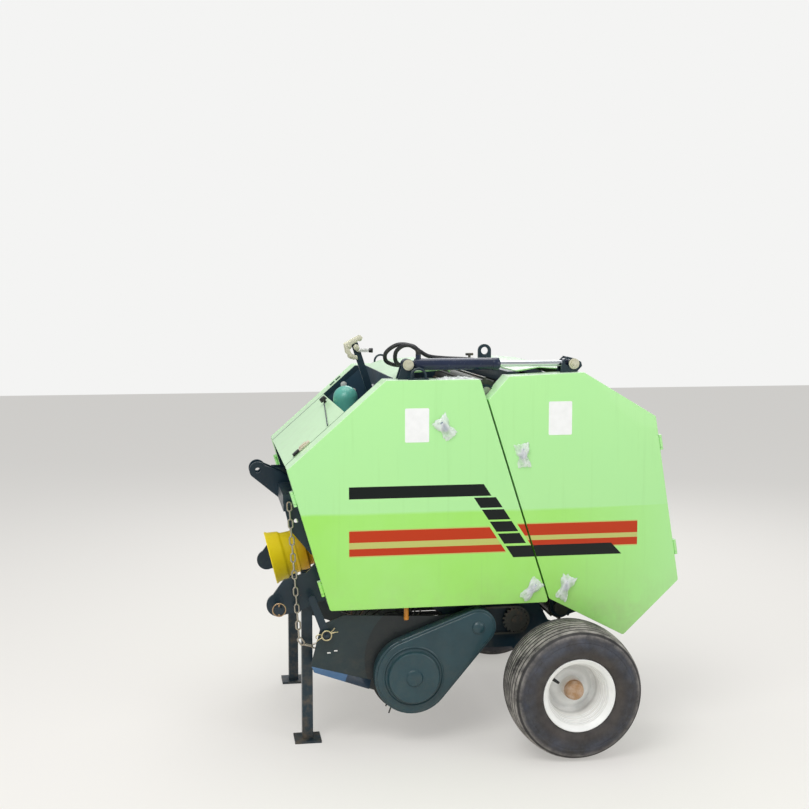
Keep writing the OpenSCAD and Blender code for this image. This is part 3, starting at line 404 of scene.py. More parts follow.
def bare_metal(name, colour, sheen, rusty, metallic=0.9, brushed=(60, 60, 60)):
    """Turned, rolled or plated steel, with grain along one axis and blooms of rust."""
    f = Finish(name)
    grain = f.noise(1, 4, 0.6, f.stretched(*brushed))
    rust = f.ramp(f.noise(11, 6, 0.72), 0.60 - rusty * 0.2, 0.78 - rusty * 0.2) * min(1.0, rusty * 2.5)
    f.colour = f.mix(f.ramp(grain, 0.3, 0.7, 0.0, 0.5), colour, tint(colour, 0.6))
    f.lay(rust, f.mix(f.noise(60, 4, 0.7), RUST, "A8764A"))
    rough = sheen + f.ramp(grain, 0.3, 0.7, 0.0, 0.12) + rust * 0.45
    height = grain * 0.6 + rust * f.noise(150, 4, 0.7) * 2
    return f.surface(roughness=rough, metallic=metallic - rust * 0.8, normal=f.bump(height, 0.18, 0.0006))


# Distance between the grooves of the tread, in metres, and how much of the dust sticks
RIB_PITCH = 0.018
TREAD_DUST = 0.6


def rubber(name):
    f = Finish(name)
    y = f.axes()[1]
    away = f.away_from(0.0, AXLE_Z * MM)
    crown = away.over(0.2, 0.012)
    cloud = f.noise(14, 5, 0.7)
    f.colour = f.mix(f.ramp(cloud, 0.3, 0.75), "1A1819", "322E30")
    # Painted sheen: a blue-grey band over the tyre's shoulder
    sheen_band = away.within(0.155, 0.195, 0.012) * f.ramp(f.noise(15, 5, 0.7), 0.36, 0.64, 0.0, 0.60)
    f.lay(sheen_band, "414959")
    bead = away.within(0.120, 0.148, 0.010) * f.ramp(f.noise(10, 4, 0.6), 0.35, 0.65, 0.1, 0.5)
    f.lay(bead, "4B4036")
    across = (y.math("ABSOLUTE") - WHEEL_Y * MM) / RIB_PITCH + 100.5
    rib = (across.math("FRACT") - 0.5).math("ABSOLUTE").over(0.20, 0.06)
    # Painted shade: the grooves between the tread's ribs are darkened
    f.lay(crown * (1.0 - rib) * 0.8, "121112")
    dust = f.ramp(f.noise(22, 5, 0.7), 0.30, 0.62) * (0.14 + crown * rib * 1.55) * TREAD_DUST
    f.lay(dust, "A8A29C")
    height = f.noise(260, 4, 0.7) * 1.5 + f.ramp(f.cracks(130), 0.0, 0.05) * 0.6
    return f.surface(roughness=0.62 + dust * 0.3, normal=f.bump(height, 0.22, 0.0008))


# Radii of the rim's pressed steps, where a dark line of painted shade is drawn, and half the width of its line, in
# metres
RIM_STEPS = (0.0842, 0.0892, 0.0952, 0.1000)
STEP_LINE = 0.0007


def rim_paint(name):
    f = Finish(name)
    away = f.away_from(0.0, AXLE_Z * MM)
    cloud = f.noise(12, 5, 0.65)
    f.colour = f.mix(f.ramp(cloud, 0.3, 0.8), "FFFFFB", "EFEFEC")
    hub = away.under(0.034, 0.003)
    f.lay(hub * f.ramp(f.noise(40, 5, 0.7), 0.15, 0.6, 0.60, 1.0), "A88057")
    ring = away.within(0.068, 0.092, 0.008) * f.ramp(f.noise(20, 5, 0.7), 0.42, 0.75, 0.0, 0.28)
    f.lay(ring, "9C968E")
    # Painted shade: the rim's dish is greyed, and a dark line is drawn at each pressed step
    f.lay(away.within(0.036, 0.083, 0.003) * 0.20, "C6C8C9")
    for radius in RIM_STEPS:
        step = away.within(radius - STEP_LINE, radius + STEP_LINE, 0.0009)
        f.lay(step * 0.40, "777572")
    rough = 0.34 + hub * 0.35 + ring * 0.3 + f.ramp(cloud, 0.3, 0.8, 0.0, 0.12)
    return f.surface(roughness=rough, normal=f.bump(f.noise(90, 4, 0.6), 0.12, 0.0008))


def guard_plastic(name):
    f = Finish(name)
    x = f.axes()[0]
    cloud = f.noise(16, 4, 0.6)
    # Painted shade: yellow at the wide end, turning darker orange towards the root under the machine
    f.colour = f.mix(f.ramp(x, 0.90, 0.81), "FFE61A", "F2A80C")
    f.lay(f.ramp(cloud, 0.35, 0.75, 0.0, 0.35), "F8D214")
    dirt = f.ramp(f.noise(34, 6, 0.75), 0.58, 0.80, 0.0, 0.4)
    f.lay(dirt, "9A7A2A")
    return f.surface(roughness=0.42 + dirt * 0.3, normal=f.bump(f.noise(200, 3, 0.6), 0.10, 0.0008))


def plain_plastic(name, colour, sheen, grain=180.0):
    f = Finish(name)
    cloud = f.noise(20, 4, 0.6)
    f.colour = f.mix(f.ramp(cloud, 0.3, 0.8, 0.0, 0.5), colour, tint(colour, 0.65))
    dust = f.ramp(f.noise(45, 5, 0.7), 0.55, 0.8, 0.0, 0.35)
    f.lay(dust, DUST)
    return f.surface(roughness=sheen + dust * 0.3, normal=f.bump(f.noise(grain, 3, 0.6), 0.12, 0.0006))


def label_plate(name):
    f = Finish(name)
    cloud = f.noise(30, 3, 0.6)
    f.colour = f.mix(f.ramp(cloud, 0.4, 0.8, 0.0, 0.5), "F7F7F5", "E6E7E4")
    return f.surface(roughness=0.38, coat_weight=0.3, normal=f.bump(cloud, 0.05, 0.0005))


def clear_film(name):
    """Crumpled protective film: see-through between white creases."""
    f = Finish(name)
    crease = f.ramp(f.cracks(38, f.stretched(1, 1, 0.6)), 0.0, 0.30, 1.0, 0.0)
    haze = f.noise(26, 5, 0.7)
    alpha = 0.30 + crease * 0.32 + f.ramp(haze, 0.35, 0.75, 0.0, 0.35)
    f.colour = f.mix(haze, "FFFFFF", "E6EBEA")
    height = crease + f.noise(70, 3, 0.6)
    return f.surface(roughness=0.22, alpha=alpha, normal=f.bump(height, 0.35, 0.002))


paints = {
    "panel_green": green_paint("cover_green_paint"),
    "door_green": green_paint("door_green_paint_striped", striped=True),
    "frame_dark": dark_paint("frame_blue_black_paint", FRAME_PAINT, 0.34, 0.10),
    "case_dark": dark_paint("case_dark_green_paint", CASE_PAINT, 0.34, 0.11, 0.03, 0.14),
    # The plate's paint holds a round painted shadow about the reel
    "plate_dark": dark_paint("plate_dark_green_paint", PLATE_PAINT, 0.36, 0.09, 0.03, 0.16, (0.458, 0.299, 0.2076)),
    # The folded edge's blue-grey is a painted highlight, with a round painted shadow over its rear end
    "plate_blue": dark_paint("folded_edge_painted_light", "3A5B7C", 0.30, 0.08, 0.03, 0.15, (0.620, 0.195, 0.118)),
    "cylinder_black": dark_paint("barrel_blue_black_paint", "0E1B34", 0.18, 0.07, 0.08),
    "box_dark": dark_paint("compartment_dark_paint", "14303F", 0.45, 0.18, 0.1),
    "works_steel": bare_metal("oily_dark_steel", "595A55", 0.42, 0.24, brushed=(90, 6, 90)),
    "bare_steel": bare_metal("worn_steel", STEEL, 0.36, 0.35, brushed=(90, 6, 90)),
    "chrome": bare_metal("chromed_rod", "E6E9EC", 0.10, 0.0, 1.0, brushed=(6, 300, 300)),
    "bolt_bright": bare_metal("bright_zinc_bolt", "ECEDE8", 0.30, 0.0, 0.5),
    "bolt_blue": bare_metal("blue_zinc_bolt", "8EA0B4", 0.32, 0.05),
    "zinc_steel": bare_metal("yellow_zinc_steel", ZINC, 0.30, 0.15),
    "zinc_pale": bare_metal("pale_zinc_steel", "E2DFC6", 0.34, 0.1, 0.6),
    "zinc_rusty": bare_metal("rusty_zinc_steel", "C4A784", 0.40, 0.20),
    "chain_steel": bare_metal("chain_steel", "B9B1A2", 0.34, 0.3, 0.8),
    "tyre": rubber("tyre_rubber"),
    "rim_silver": rim_paint("rim_silver_paint"),
    "guard_yellow": guard_plastic("guard_yellow_plastic"),
    "hose_rubber": plain_plastic("hose_rubber", "1E1F22", 0.45, 300),
    "canister_plastic": plain_plastic("canister_turquoise_plastic", "5DB0A0", 0.30),
    "knob_black": plain_plastic("knob_black_plastic", "1B1D1E", 0.35),
    "latch_beige": plain_plastic("latch_beige_plastic", "D6CDB5", 0.45),
    "tag_orange": plain_plastic("tag_orange_plastic", "D98A28", 0.40),
    "label_white": label_plate("blank_label"),
    "clear_film": clear_film("clear_wrapping_film"),
}

# The record's slot for each finish whose own name is no slot
SLOTS = {"door_green": "panel_green", "plate_blue": "case_dark", "works_steel": "bare_steel",
         "knob_black": "hose_rubber", "latch_beige": "guard_yellow", "tag_orange": "guard_yellow",
         "label_white": None, "clear_film": None}
SLOTS |= dict.fromkeys(("bolt_bright", "bolt_blue", "zinc_pale", "zinc_rusty", "chain_steel"), "zinc_steel")

# Solids that are shown in another finish than their slot's
OTHERWISE = {"cylinder_rod": "chrome", "pickup_side_plates": "plate_dark"}
OTHERWISE |= dict.fromkeys(("front_drive", "gate_drive", "front_rollers", "gate_rollers", "pickup_bands",
                            "pickup_reel"), "works_steel")
for part in frame["record"]["subparts"]:
    node = part["node"]
    shown = frame["nodes"][node]
    shown.data.materials.clear()
    shown.data.materials.append(paints[OTHERWISE.get(node, part["material_slot"])])


# Meshes

def placed(name, data):
    """A new object in the scene."""
    made = bpy.data.objects.new(name, data)
    bpy.context.scene.collection.objects.link(made)
    return made


def finished(name, mesh, body, paint, sharp, replaces=(), slot=None):
    """Puts a mesh into the scene as a piece of the machine."""
    piece = placed(name, mesh)
    if not mesh.materials:
        mesh.materials.append(paints[paint])
    soften(mesh, sharp)
    if body:
        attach(piece, body)
    if replaces:
        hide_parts(*replaces)
    slot = slot or SLOTS.get(paint, paint)
    return piece


def soften(mesh, sharp):
    """Smooth shading, but for edges that bend more than sharp degrees."""
    form = bmesh.new()
    form.from_mesh(mesh)
    for face in form.faces:
        face.smooth = True
    for edge in form.edges:
        if len(edge.link_faces) == 2:
            edge.smooth = edge.calc_face_angle(0.0) < radians(sharp)
    form.to_mesh(mesh)
    form.free()


def mesh_from(name, form, outward=True):
    if outward:
        bmesh.ops.remove_doubles(form, verts=form.verts, dist=1e-6)
        bmesh.ops.recalc_face_normals(form, faces=form.faces)
    mesh = bpy.data.meshes.new(name)
    form.to_mesh(mesh)
    form.free()
    return mesh


def modified(mesh, kind, settings, inputs=None):
    """The mesh as one modifier leaves it."""
    holder = placed("holder", mesh)
    modifier = holder.modifiers.new("change", kind)
    for key, value in settings.items():
        setattr(modifier, key, value)
    for key, value in (inputs or {}).items():
        modifier[key] = value
    holder.update_tag()
    result = bpy.data.meshes.new_from_object(holder.evaluated_get(bpy.context.evaluated_depsgraph_get()))
    result.name = mesh.name
    bpy.data.objects.remove(holder)
    return result


def bevelled(mesh, width, steps, angle=30.0):
    """The mesh with its hard edges rounded."""
    return modified(mesh, "BEVEL", {"width": width * MM, "segments": steps, "limit_method": "ANGLE",
                                    "angle_limit": radians(angle)})


def shaped(name, form, body, paint, sharp=40.0, replaces=(), bevel=None, slot=None, outward=True):
    """Ends a form as a piece: bevel is the width of its round edges, in millimetres, and their steps."""
    mesh = mesh_from(name, form, outward)
    if bevel:
        mesh = bevelled(mesh, *bevel)
    return finished(name, mesh, body, paint, sharp, replaces, slot)


def rounded(outline, radius, steps=5):
    """A side outline with its corners rounded by arcs."""
    points = []
    count = len(outline)
    for i, corner in enumerate(outline):
        here = Vector(corner)
        before = (Vector(outline[i - 1]) - here).normalized()
        after = (Vector(outline[(i + 1) % count]) - here).normalized()
        half = acos(max(-1.0, min(1.0, before.dot(after)))) / 2
        reach = radius / tan(half)
        middle = here + (before + after).normalized() * (radius / sin(half))
        first = here + before * reach - middle
        last = here + after * reach - middle
        turn = atan2(first.x * last.y - first.y * last.x, first.dot(last))
        for k in range(steps + 1):
            a = turn * k / steps
            points.append((middle.x + first.x * cos(a) - first.y * sin(a),
                           middle.y + first.x * sin(a) + first.y * cos(a)))
    return points


def inset(outline, d):
    """An anticlockwise outline moved inwards by d."""
    count = len(outline)
    moved = []
    for i, corner in enumerate(outline):
        here = Vector(corner)
        u = (here - Vector(outline[i - 1])).normalized()
        v = (Vector(outline[(i + 1) % count]) - here).normalized()
        m = (Vector((-u.y, u.x)) + Vector((-v.y, v.x))).normalized()
        moved.append(tuple(here + m * d / m.dot(Vector((-u.y, u.x)))))
    return moved


def skin(form, rows, closed=True):
    """Adds faces between rows of points that run round the form, or that end at its edges."""
    for low, high in zip(rows, rows[1:]):
        for i in range(len(low) if closed else len(low) - 1):
            j = (i + 1) % len(low)
            form.faces.new((low[i], low[j], high[j], high[i]))


def solid(form, rows):
    """Adds a closed solid whose ends are its first and its last row of points."""
    form.faces.new(rows[0])
    form.faces.new(rows[-1])
    skin(form, rows)


def slab(form, outline, y0, y1):
    """Adds a prism of a side outline between two widths."""
    solid(form, [[form.verts.new(at(x, y, z)) for x, z in outline] for y in (y0, y1)])


def rod(form, start, end, radius, sides=20, radius_end=None):
    """Adds a round bar, or a cone, between two points of the frame."""
    along = end - start
    turn = along.to_track_quat("Z", "Y").to_matrix().to_4x4()
    place = Matrix.Translation((start + end) / 2) @ turn
    top = radius if radius_end is None else radius_end
    bmesh.ops.create_cone(form, cap_ends=True, segments=sides, radius1=radius * MM, radius2=top * MM,
                          depth=along.length, matrix=place)


def turned(name, bars, body, paint, bevel):
    """A piece of round bars, each given as a rod is."""
    form = bmesh.new()
    for bar in bars:
        rod(form, *bar)
    shaped(name, form, body, paint, bevel=bevel)


def round_steps(count):
    """The cosine and the sine of each even step round a circle."""
    return [(cos(a), sin(a)) for a in (2 * pi * k / count for k in range(count))]


def revolve(profile, centre, axis, segments=96):
    """A surface turned about an axis: the profile holds (distance along the axis, radius)."""
    axis = Vector(axis).normalized()
    side = axis.orthogonal().normalized()
    up = axis.cross(side)
    form = bmesh.new()
    rings = [[form.verts.new(centre + (axis * along + (side * c + up * s) * radius) * MM)
              for c, s in round_steps(segments)] for along, radius in profile]
    skin(form, rings + rings[:1])
    return form


def take_in(form, name, other):
    """Moves the faces of another form into a form."""
    spare = mesh_from(name, other)
    form.from_mesh(spare)
    bpy.data.meshes.remove(spare)


def sweep(form, points, radius, sides):
    """Adds a tube along a list of points of the frame; its radius may change from 0 to 1 of the way."""
    rings = []
    up = Vector((0.2, 0.1, 0.97))
    last = len(points) - 1
    for i, point in enumerate(points):
        along = (points[min(i + 1, last)] - points[max(i - 1, 0)]).normalized()
        u = along.cross(up).normalized()
        v = along.cross(u)
        size = radius(i / last) if callable(radius) else radius
        rings.append([form.verts.new(point + (u * c + v * s) * size * MM) for c, s in round_steps(sides)])
    solid(form, rings)


def smooth_path(points, steps):
    """Points of a Catmull-Rom curve through the given ones."""
    path = []
    last = len(points) - 1
    for i in range(last):
        a, b, c, d = points[max(i - 1, 0)], points[i], points[i + 1], points[min(i + 2, last)]
        for k in range(steps):
            t = k / steps
            path.append(0.5 * (2 * b + (c - a) * t + (2 * a - 5 * b + 4 * c - d) * t * t
                               + (3 * b - a - 3 * c + d) * t * t * t))
    path.append(points[-1])
    return path


def ring_tube(form, centre, normal, radius, wire, around=44, sides=10):
    """Adds a ring of round wire."""
    normal = Vector(normal).normalized()
    u = normal.orthogonal().normalized()
    v = normal.cross(u)
    rings = []
    for c, s in round_steps(around):
        out = u * c + v * s
        rings.append([form.verts.new(centre + (out * (radius + wire * b) + normal * wire * d) * MM)
                      for b, d in round_steps(sides)])
    skin(form, rings + rings[:1])


# Repeats by geometry nodes

class Grower(Tree):
    """A geometry node tree that takes spots, sizes and a finish."""

    def __init__(self, name, *sizes):
        super().__init__(bpy.data.node_groups.new(name, "GeometryNodeTree"))
        face = self.data.interface
        face.new_socket(name="Spots", in_out="INPUT", socket_type="NodeSocketGeometry")
        kinds = {size: "NodeSocketFloat" for size in sizes} | {"Finish": "NodeSocketMaterial"}
        self.ids = {label: face.new_socket(name=label, in_out="INPUT", socket_type=kind).identifier
                    for label, kind in kinds.items()}
        face.new_socket(name="Pieces", in_out="OUTPUT", socket_type="NodeSocketGeometry")
        self.given = self.add("NodeGroupInput")

    def on_spots(self, shape):
        """Ends the tree: the shape on every spot, turned as the spot's own attribute says."""
        turn = self.add("GeometryNodeInputNamedAttribute", {"Name": "turn"}, data_type="FLOAT_VECTOR")
        copies = self.add("GeometryNodeInstanceOnPoints",
                          {"Points": self.given["Spots"], "Instance": shape, "Rotation": turn})
        real = self.add("GeometryNodeRealizeInstances", {0: copies})
        painted = self.add("GeometryNodeSetMaterial", {"Geometry": real, "Material": self.given["Finish"]})
        self.add("NodeGroupOutput", {0: painted})

    def grow(self, name, spots, **values):
        """The plain mesh that the tree makes on a list of (place, turn)."""
        seed = bpy.data.meshes.new(name)
        seed.from_pydata([tuple(place) for place, _ in spots], [], [])
        turns = seed.attributes.new("turn", "FLOAT_VECTOR", "POINT")
        turns.data.foreach_set("vector", [c for _, turn in spots for c in turn])
        inputs = {self.ids[label.title()]: value for label, value in values.items()}
        return modified(seed, "NODES", {"node_group": self.data}, inputs)


def bolt_grower():
    """Hexagon heads on washers, with a stub of thread."""
    g = Grower("hex_bolts", "Head", "Height")
    head, height = g.given["Head"], g.given["Height"]

    def disc(sides, radius, depth, lift):
        made = g.add("GeometryNodeMeshCylinder", {"Vertices": sides, "Radius": radius, "Depth": depth})
        shift = g.add("ShaderNodeCombineXYZ", {2: lift})
        return g.add("GeometryNodeTransform", {"Geometry": made, "Translation": shift})

    washer = disc(24, head * 1.45, height * 0.3, height * 0.15)
    nut = disc(6, head, height, height * 0.75)
    thread = disc(16, head * 0.5, height * 0.5, height * 1.4)
    joined = g.add("GeometryNodeJoinGeometry")
    for shape in (thread, nut, washer):
        g.data.links.new(shape.node.outputs[0], joined.node.inputs[0])
    g.on_spots(joined)
    return g


def link_grower():
    """Chain links bent from round wire."""
    g = Grower("chain_links", "Length", "Width", "Wire")
    width = g.given["Width"]
    oblong = g.add("GeometryNodeCurvePrimitiveQuadrilateral", {"Width": width, "Height": g.given["Length"]})
    bent = g.add("GeometryNodeFilletCurve", {"Curve": oblong, "Count": 8, "Radius": width * 0.4999}, mode="POLY")
    wire = g.add("GeometryNodeCurvePrimitiveCircle", {"Resolution": 10, "Radius": g.given["Wire"]})
    g.on_spots(g.add("GeometryNodeCurveToMesh", {"Curve": bent, "Profile Curve": wire}))
    return g


BOLTS = bolt_grower()
LINKS = link_grower()
TO_LEFT = (-pi / 2, 0.0, 0.0)


def bolts(name, places, body, head, height, paint):
    """Bolts whose heads face left."""
    mesh = BOLTS.grow(name, [(place, TO_LEFT) for place in places], head=head * MM, height=height * MM,
                      finish=paints[paint])
    finished(name, mesh, body, paint, 25)


# Doors: skins with rounded, folded edges, their hinge knuckles and lever latches
SIDES = ((1, "left"), (-1, "right"))
DOOR_CORNER = 9.0
HINGE_OFF = 7.0
HINGE_Y = 463.0
KNUCKLE = 34.0
KNUCKLE_R = 5.5
KNUCKLES = (0.16, 0.80)


def door(name, outline, side, body, edge):
    """A door's skin, with knuckles on the edge that it turns about."""
    form = bmesh.new()
    rim = rounded(outline, DOOR_CORNER)
    inner = inset(rim, DOOR_WALL)
    solid(form, [[form.verts.new(at(x, side * y, z)) for x, z in ring] for ring, y in
                 ((rim, DOOR_OUT), (rim, DOOR_IN), (inner, DOOR_IN), (inner, DOOR_OUT - DOOR_WALL))])
    start, end = map(Vector, edge)
    along = (end - start).normalized()
    out = Vector((along.y, -along.x))
    half = along * KNUCKLE / 2
    for share in KNUCKLES:
        middle = start + (end - start) * share + out * HINGE_OFF
        a, b = middle - half, middle + half
        rod(form, at(a.x, side * HINGE_Y, a.y), at(b.x, side * HINGE_Y, b.y), KNUCKLE_R)
        root = middle - out * (HINGE_OFF + 2)
        slab(form, [root - half, root + half, b, a], side * (HINGE_Y - 1), side * (HINGE_Y + 2))
    shaped(name + "_skin", form, body, "door_green", replaces=[name], bevel=(2.2, 3))


for end, outline, edge in (("front", FRONT_OUTLINE, (BELLY, NOSE)), ("gate", GATE_OUTLINE, (SHOULDER, TAIL))):
    for side, hand in SIDES:
        door(f"door_{end}_{hand}", outline, side, f"{end}_door_{hand}", edge)


def leaning(lean):
    """Directions along and across something that leans by some degrees."""
    a = radians(lean)
    along = Vector((sin(a), cos(a)))
    return along, Vector((along.y, -along.x))


def latch(name, x, z, lean, side, body):
    """A lever latch: a round base, a lever with a raised grip and a screw."""
    form = bmesh.new()
    along, across = leaning(lean)
    centre = Vector((x, z))
    for low, high, radius, sides, top in ((0, 5, 14, 28, 12), (4, 9, 8, 24, 7)):
        rod(form, at(x, side * (DOOR_OUT + low), z), at(x, side * (DOOR_OUT + high), z), radius, sides, top)
    grip = [centre + along * far + across * wide for far, wide in ((-10, -6), (24, -4.5), (24, 4.5), (-10, 6))]
    slab(form, grip, side * (DOOR_OUT + 5), side * (DOOR_OUT + 11))
    shaped(name, form, body, "bolt_blue", bevel=(1.2, 2))


def crumpled(name, steps_t, steps_s, spot, body):
    """Clear film through the spots that a function gives for t and s, each from 0 to 1."""
    form = bmesh.new()
    skin(form, [[form.verts.new(spot(t / steps_t, s / steps_s)) for s in range(steps_s + 1)]
                for t in range(steps_t + 1)], closed=False)
    shaped(name, form, body, "clear_film", 50, outward=False)


def latch_film(name, x, z, lean, half_long, half_wide, body):
    """A crumpled bag of clear film that wraps a latch of the left side, open at its lower end."""
    along, across = leaning(lean)

    def spot(t, s):
        t, s = 1 - t * 2, s * 2 - 1
        seed = Vector((x * 0.01 + t * 1.7, z * 0.01 + s * 1.9, 3.0))
        ragged = 1 + 0.20 * noise(seed * 2.1)
        flare = 1.0 - 0.35 * exp(-((t + 0.1) / 0.35) ** 2) + 0.12 * t
        p = Vector((x, z)) + along * (t * half_long * ragged) + across * (s * half_wide * flare * ragged)
        dome = 12.5 * max(0.0, 1 - t * t * 0.7) * max(0.0, 1 - s * s) ** 0.6
        crumple = 3.2 * noise(seed * 3.7) + 1.6 * noise(seed * 9.0)
        lift = max(0.7, dome + crumple * (0.5 + 0.5 * (1 - s * s)) + 1.2)
        return at(p.x, DOOR_OUT + lift, p.y)

    crumpled(name, 22, 14, spot, body)


# Latches: (end of the machine, place on the door, x, z, lean in degrees, half length and half width of the film)
LATCHES = (("front", "upper", 405, 1084, 38, 38, 27), ("front", "lower", 109, 533, -42, 40, 22),
           ("gate", "upper", 141, 987, 8, 40, 24), ("gate", "lower", -9, 536, -22, 42, 24))
for end, height, x, z, lean, half_long, half_wide in LATCHES:
    name = f"latch_{end}_{height}"
    for side, hand in SIDES:
        latch(f"{name}_{hand}", x, z, lean, side, f"{end}_door_{hand}")
    latch_film(name + "_film", x, z, lean, half_long, half_wide, f"{end}_door_left")

# Blank label plates on the left doors
LABEL_HALF = (40.0, 56.0)
for end, x, z in (("front", 498, 1094), ("gate", 14, 1110)):
    form = bmesh.new()
    corners = [(x + a * LABEL_HALF[0], z + b * LABEL_HALF[1]) for a, b in ((1, -1), (1, 1), (-1, 1), (-1, -1))]
    slab(form, rounded(corners, 4.0), DOOR_OUT - 0.1, DOOR_OUT + 0.5)
    shaped(f"label_{end}", form, f"{end}_door_left", "label_white")

# Wheels

RIB_GROOVES = (-72, -54, -36, -18, 0, 18, 36, 54, 72)
GROOVE_HALF = 2.2
GROOVE_DEEP = 4.5


def crown(y):
    return TYRE_R - 0.3 - 10.0 * (y / 84.0) ** 2


# The tyre's wall: how far in from its widest place, and the radius
WALL = ((30, BEAD_R + 0.3), (22, 114), (16, FLANGE_R + 2), (12.5, FLANGE_R + 4), (10, FLANGE_R + 7),
        (9.4, FLANGE_R + 9), (5.5, FLANGE_R + 14), (2.2, 145), (0.4, 154), (0.2, 161), (1.0, 168), (2.8, 174),
        (3.8, 176), (3.0, 179), (5.0, 184), (8.0, 189.5), (9.8, 192), (10.4, 195.5), (13.5, 201), (18.5, 206.5),
        (21.5, 209))


def tyre_profile():
    wall = [(TYRE_W / 2 - inward, radius) for inward, radius in WALL]
    top = []
    for g in reversed(RIB_GROOVES):
        top += [(g + GROOVE_HALF + 1.0, crown(g)), (g + GROOVE_HALF, crown(g) - 0.8),
                (g + GROOVE_HALF * 0.6, crown(g) - GROOVE_DEEP), (g - GROOVE_HALF * 0.6, crown(g) - GROOVE_DEEP),
                (g - GROOVE_HALF, crown(g) - 0.8), (g - GROOVE_HALF - 1.0, crown(g))]
    return wall + top + [(-y, r) for y, r in reversed(wall)]


def rim_profile():
    seat = BEAD_R - 0.3
    bead = TYRE_W / 2 - 30
    lip = bead + 12.2
    front = [(lip + 1.0, FLANGE_R), (lip + 3.2, FLANGE_R - 1.2), (lip + 3.6, FLANGE_R - 3.5),
             (lip + 1.5, FLANGE_R - 6), (bead + 8, 109), (bead + 2, 103), (bead - 6, 101.5), (bead - 10, 98),
             (bead - 22, 97), (bead - 26, 93), (bead - 40, 91), (bead - 44, 87.5), (bead - 64, 85.5)]
    dish = [(-8, 83), (-14, 79), (-17, 73), (-14, 67), (-8, 62), (-5, 54), (-6, 46), (-10, 38), (-10, 36),
            (23, 34.0), (23, 17.6), (-51, 17.6), (-51, 34), (-18, 34), (-22, 70), (-24, 82), (-26, 93)]
    back = [(-bead - 2, 100.5), (-lip - 3, FLANGE_R - 3), (-lip - 1, FLANGE_R), (-bead, seat), (bead, seat)]
    return front + dish + back


WHEEL_CAP = [(23, 17.8), (23, 30), (27, 30.6), (43, 29.5), (50, 26), (53.5, 20), (55, 10), (55.2, 0.4), (50, 0.4),
             (49, 17.8)]
VALVE_TURN = radians(30.5)
VALVE_WAY = ((91.5, 37), (86, 47), (76, 55), (70, 60))
stem = Vector((cos(VALVE_TURN), sin(VALVE_TURN)))
for side, hand in SIDES:
    centre = at(0, side * WHEEL_Y, AXLE_Z)
    axis = (0, side, 0)
    body = f"wheel_{hand}"
    shaped(f"tyre_{hand}", revolve(tyre_profile(), centre, axis, 144), body, "tyre", 28, [f"wheel_tyre_{hand}"])
    form = revolve(rim_profile(), centre, axis)
    take_in(form, "cap", revolve(WHEEL_CAP, centre, axis, 48))
    shaped(f"rim_{hand}", form, body, "rim_silver", 30, [f"wheel_rim_{hand}"])
    form = bmesh.new()
    route = [at(stem.x * r, side * (WHEEL_Y + out), AXLE_Z + stem.y * r) for r, out in VALVE_WAY]
    sweep(form, smooth_path(route, 5), lambda t: 6.5 - 2.4 * t, 12)
    shaped(f"valve_{hand}", form, body, "knob_black")

# Drive shaft guard: a stepped bell with a rolled lip
GUARD_ROOT = at(806, 0, 606)
GUARD_TILT = radians(14)
GUARD_AXIS = (cos(GUARD_TILT), 0, -sin(GUARD_TILT))
GUARD_PROFILE = [(0.2, 48.5), (0.2, 61), (1.5, 62), (17, 62), (19, 63), (22.5, 71), (25, 73.5), (56, 76),
                 (58, 77.8), (63, 77.8), (65, 76.6), (97, 78.6), (101, 80.5), (105, 84.4), (109, 86.2),
                 (142, 91.8), (147, 94.8), (151, 96), (153.6, 94.5), (153.4, 92), (148, 88.5), (108, 81.5),
                 (102, 75.5), (65, 73), (27, 70.5), (21.5, 59.5), (4, 58.5), (3.5, 48.5)]
shaped("shaft_guard_bell", revolve(GUARD_PROFILE, GUARD_ROOT, GUARD_AXIS, 88), "frame", "guard_yellow", 30,
       ["shaft_guard"])

# Lift chain, from its hook on the mast to its pin on the pick-up: the lean of each link, in degrees
LINK_LEN = 34.5
LINK_WIDTH = 14.0
WIRE = 2.75
CHAIN_PIN = 3.75
HOOK = (912.0, 832.0)
PLAY = 0.3
LINK_LEANS = [3.7] * 16 + [35, 75, 100]


def link_way(i):
    return -leaning(LINK_LEANS[i])[0]


start = Vector((HOOK[0], HOOK[1] + CHAIN_PIN + WIRE + PLAY))
link_spots = []
for i, lean in enumerate(LINK_LEANS):
    middle = start + link_way(i) * LINK_LEN / 2
    turns = (0, radians(lean), 0), (0, 0, 0 if i % 2 == 0 else pi / 2), (pi / 2, 0, 0)
    a, b, c = (Euler(turn).to_matrix() for turn in turns)
    link_spots.append((at(middle.x, CHAIN_Y, middle.y), (a @ b @ c).to_euler()))
    end = start + link_way(i) * LINK_LEN
    following = link_way(i) if i % 2 == 0 or i == len(LINK_LEANS) - 1 else link_way(i + 1)
    start = end - following * (2 * WIRE + PLAY)
mesh = LINKS.grow("lift_chain_links", link_spots, length=(LINK_LEN - 2 * WIRE) * MM, width=LINK_WIDTH * MM,
                  wire=WIRE * MM, finish=paints["chain_steel"])
piece = finished("lift_chain_links", mesh, None, "chain_steel", 50, ["lift_chain"])
at(890, CHAIN_Y, 560)
at(850, CHAIN_Y, 360)
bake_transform(piece)

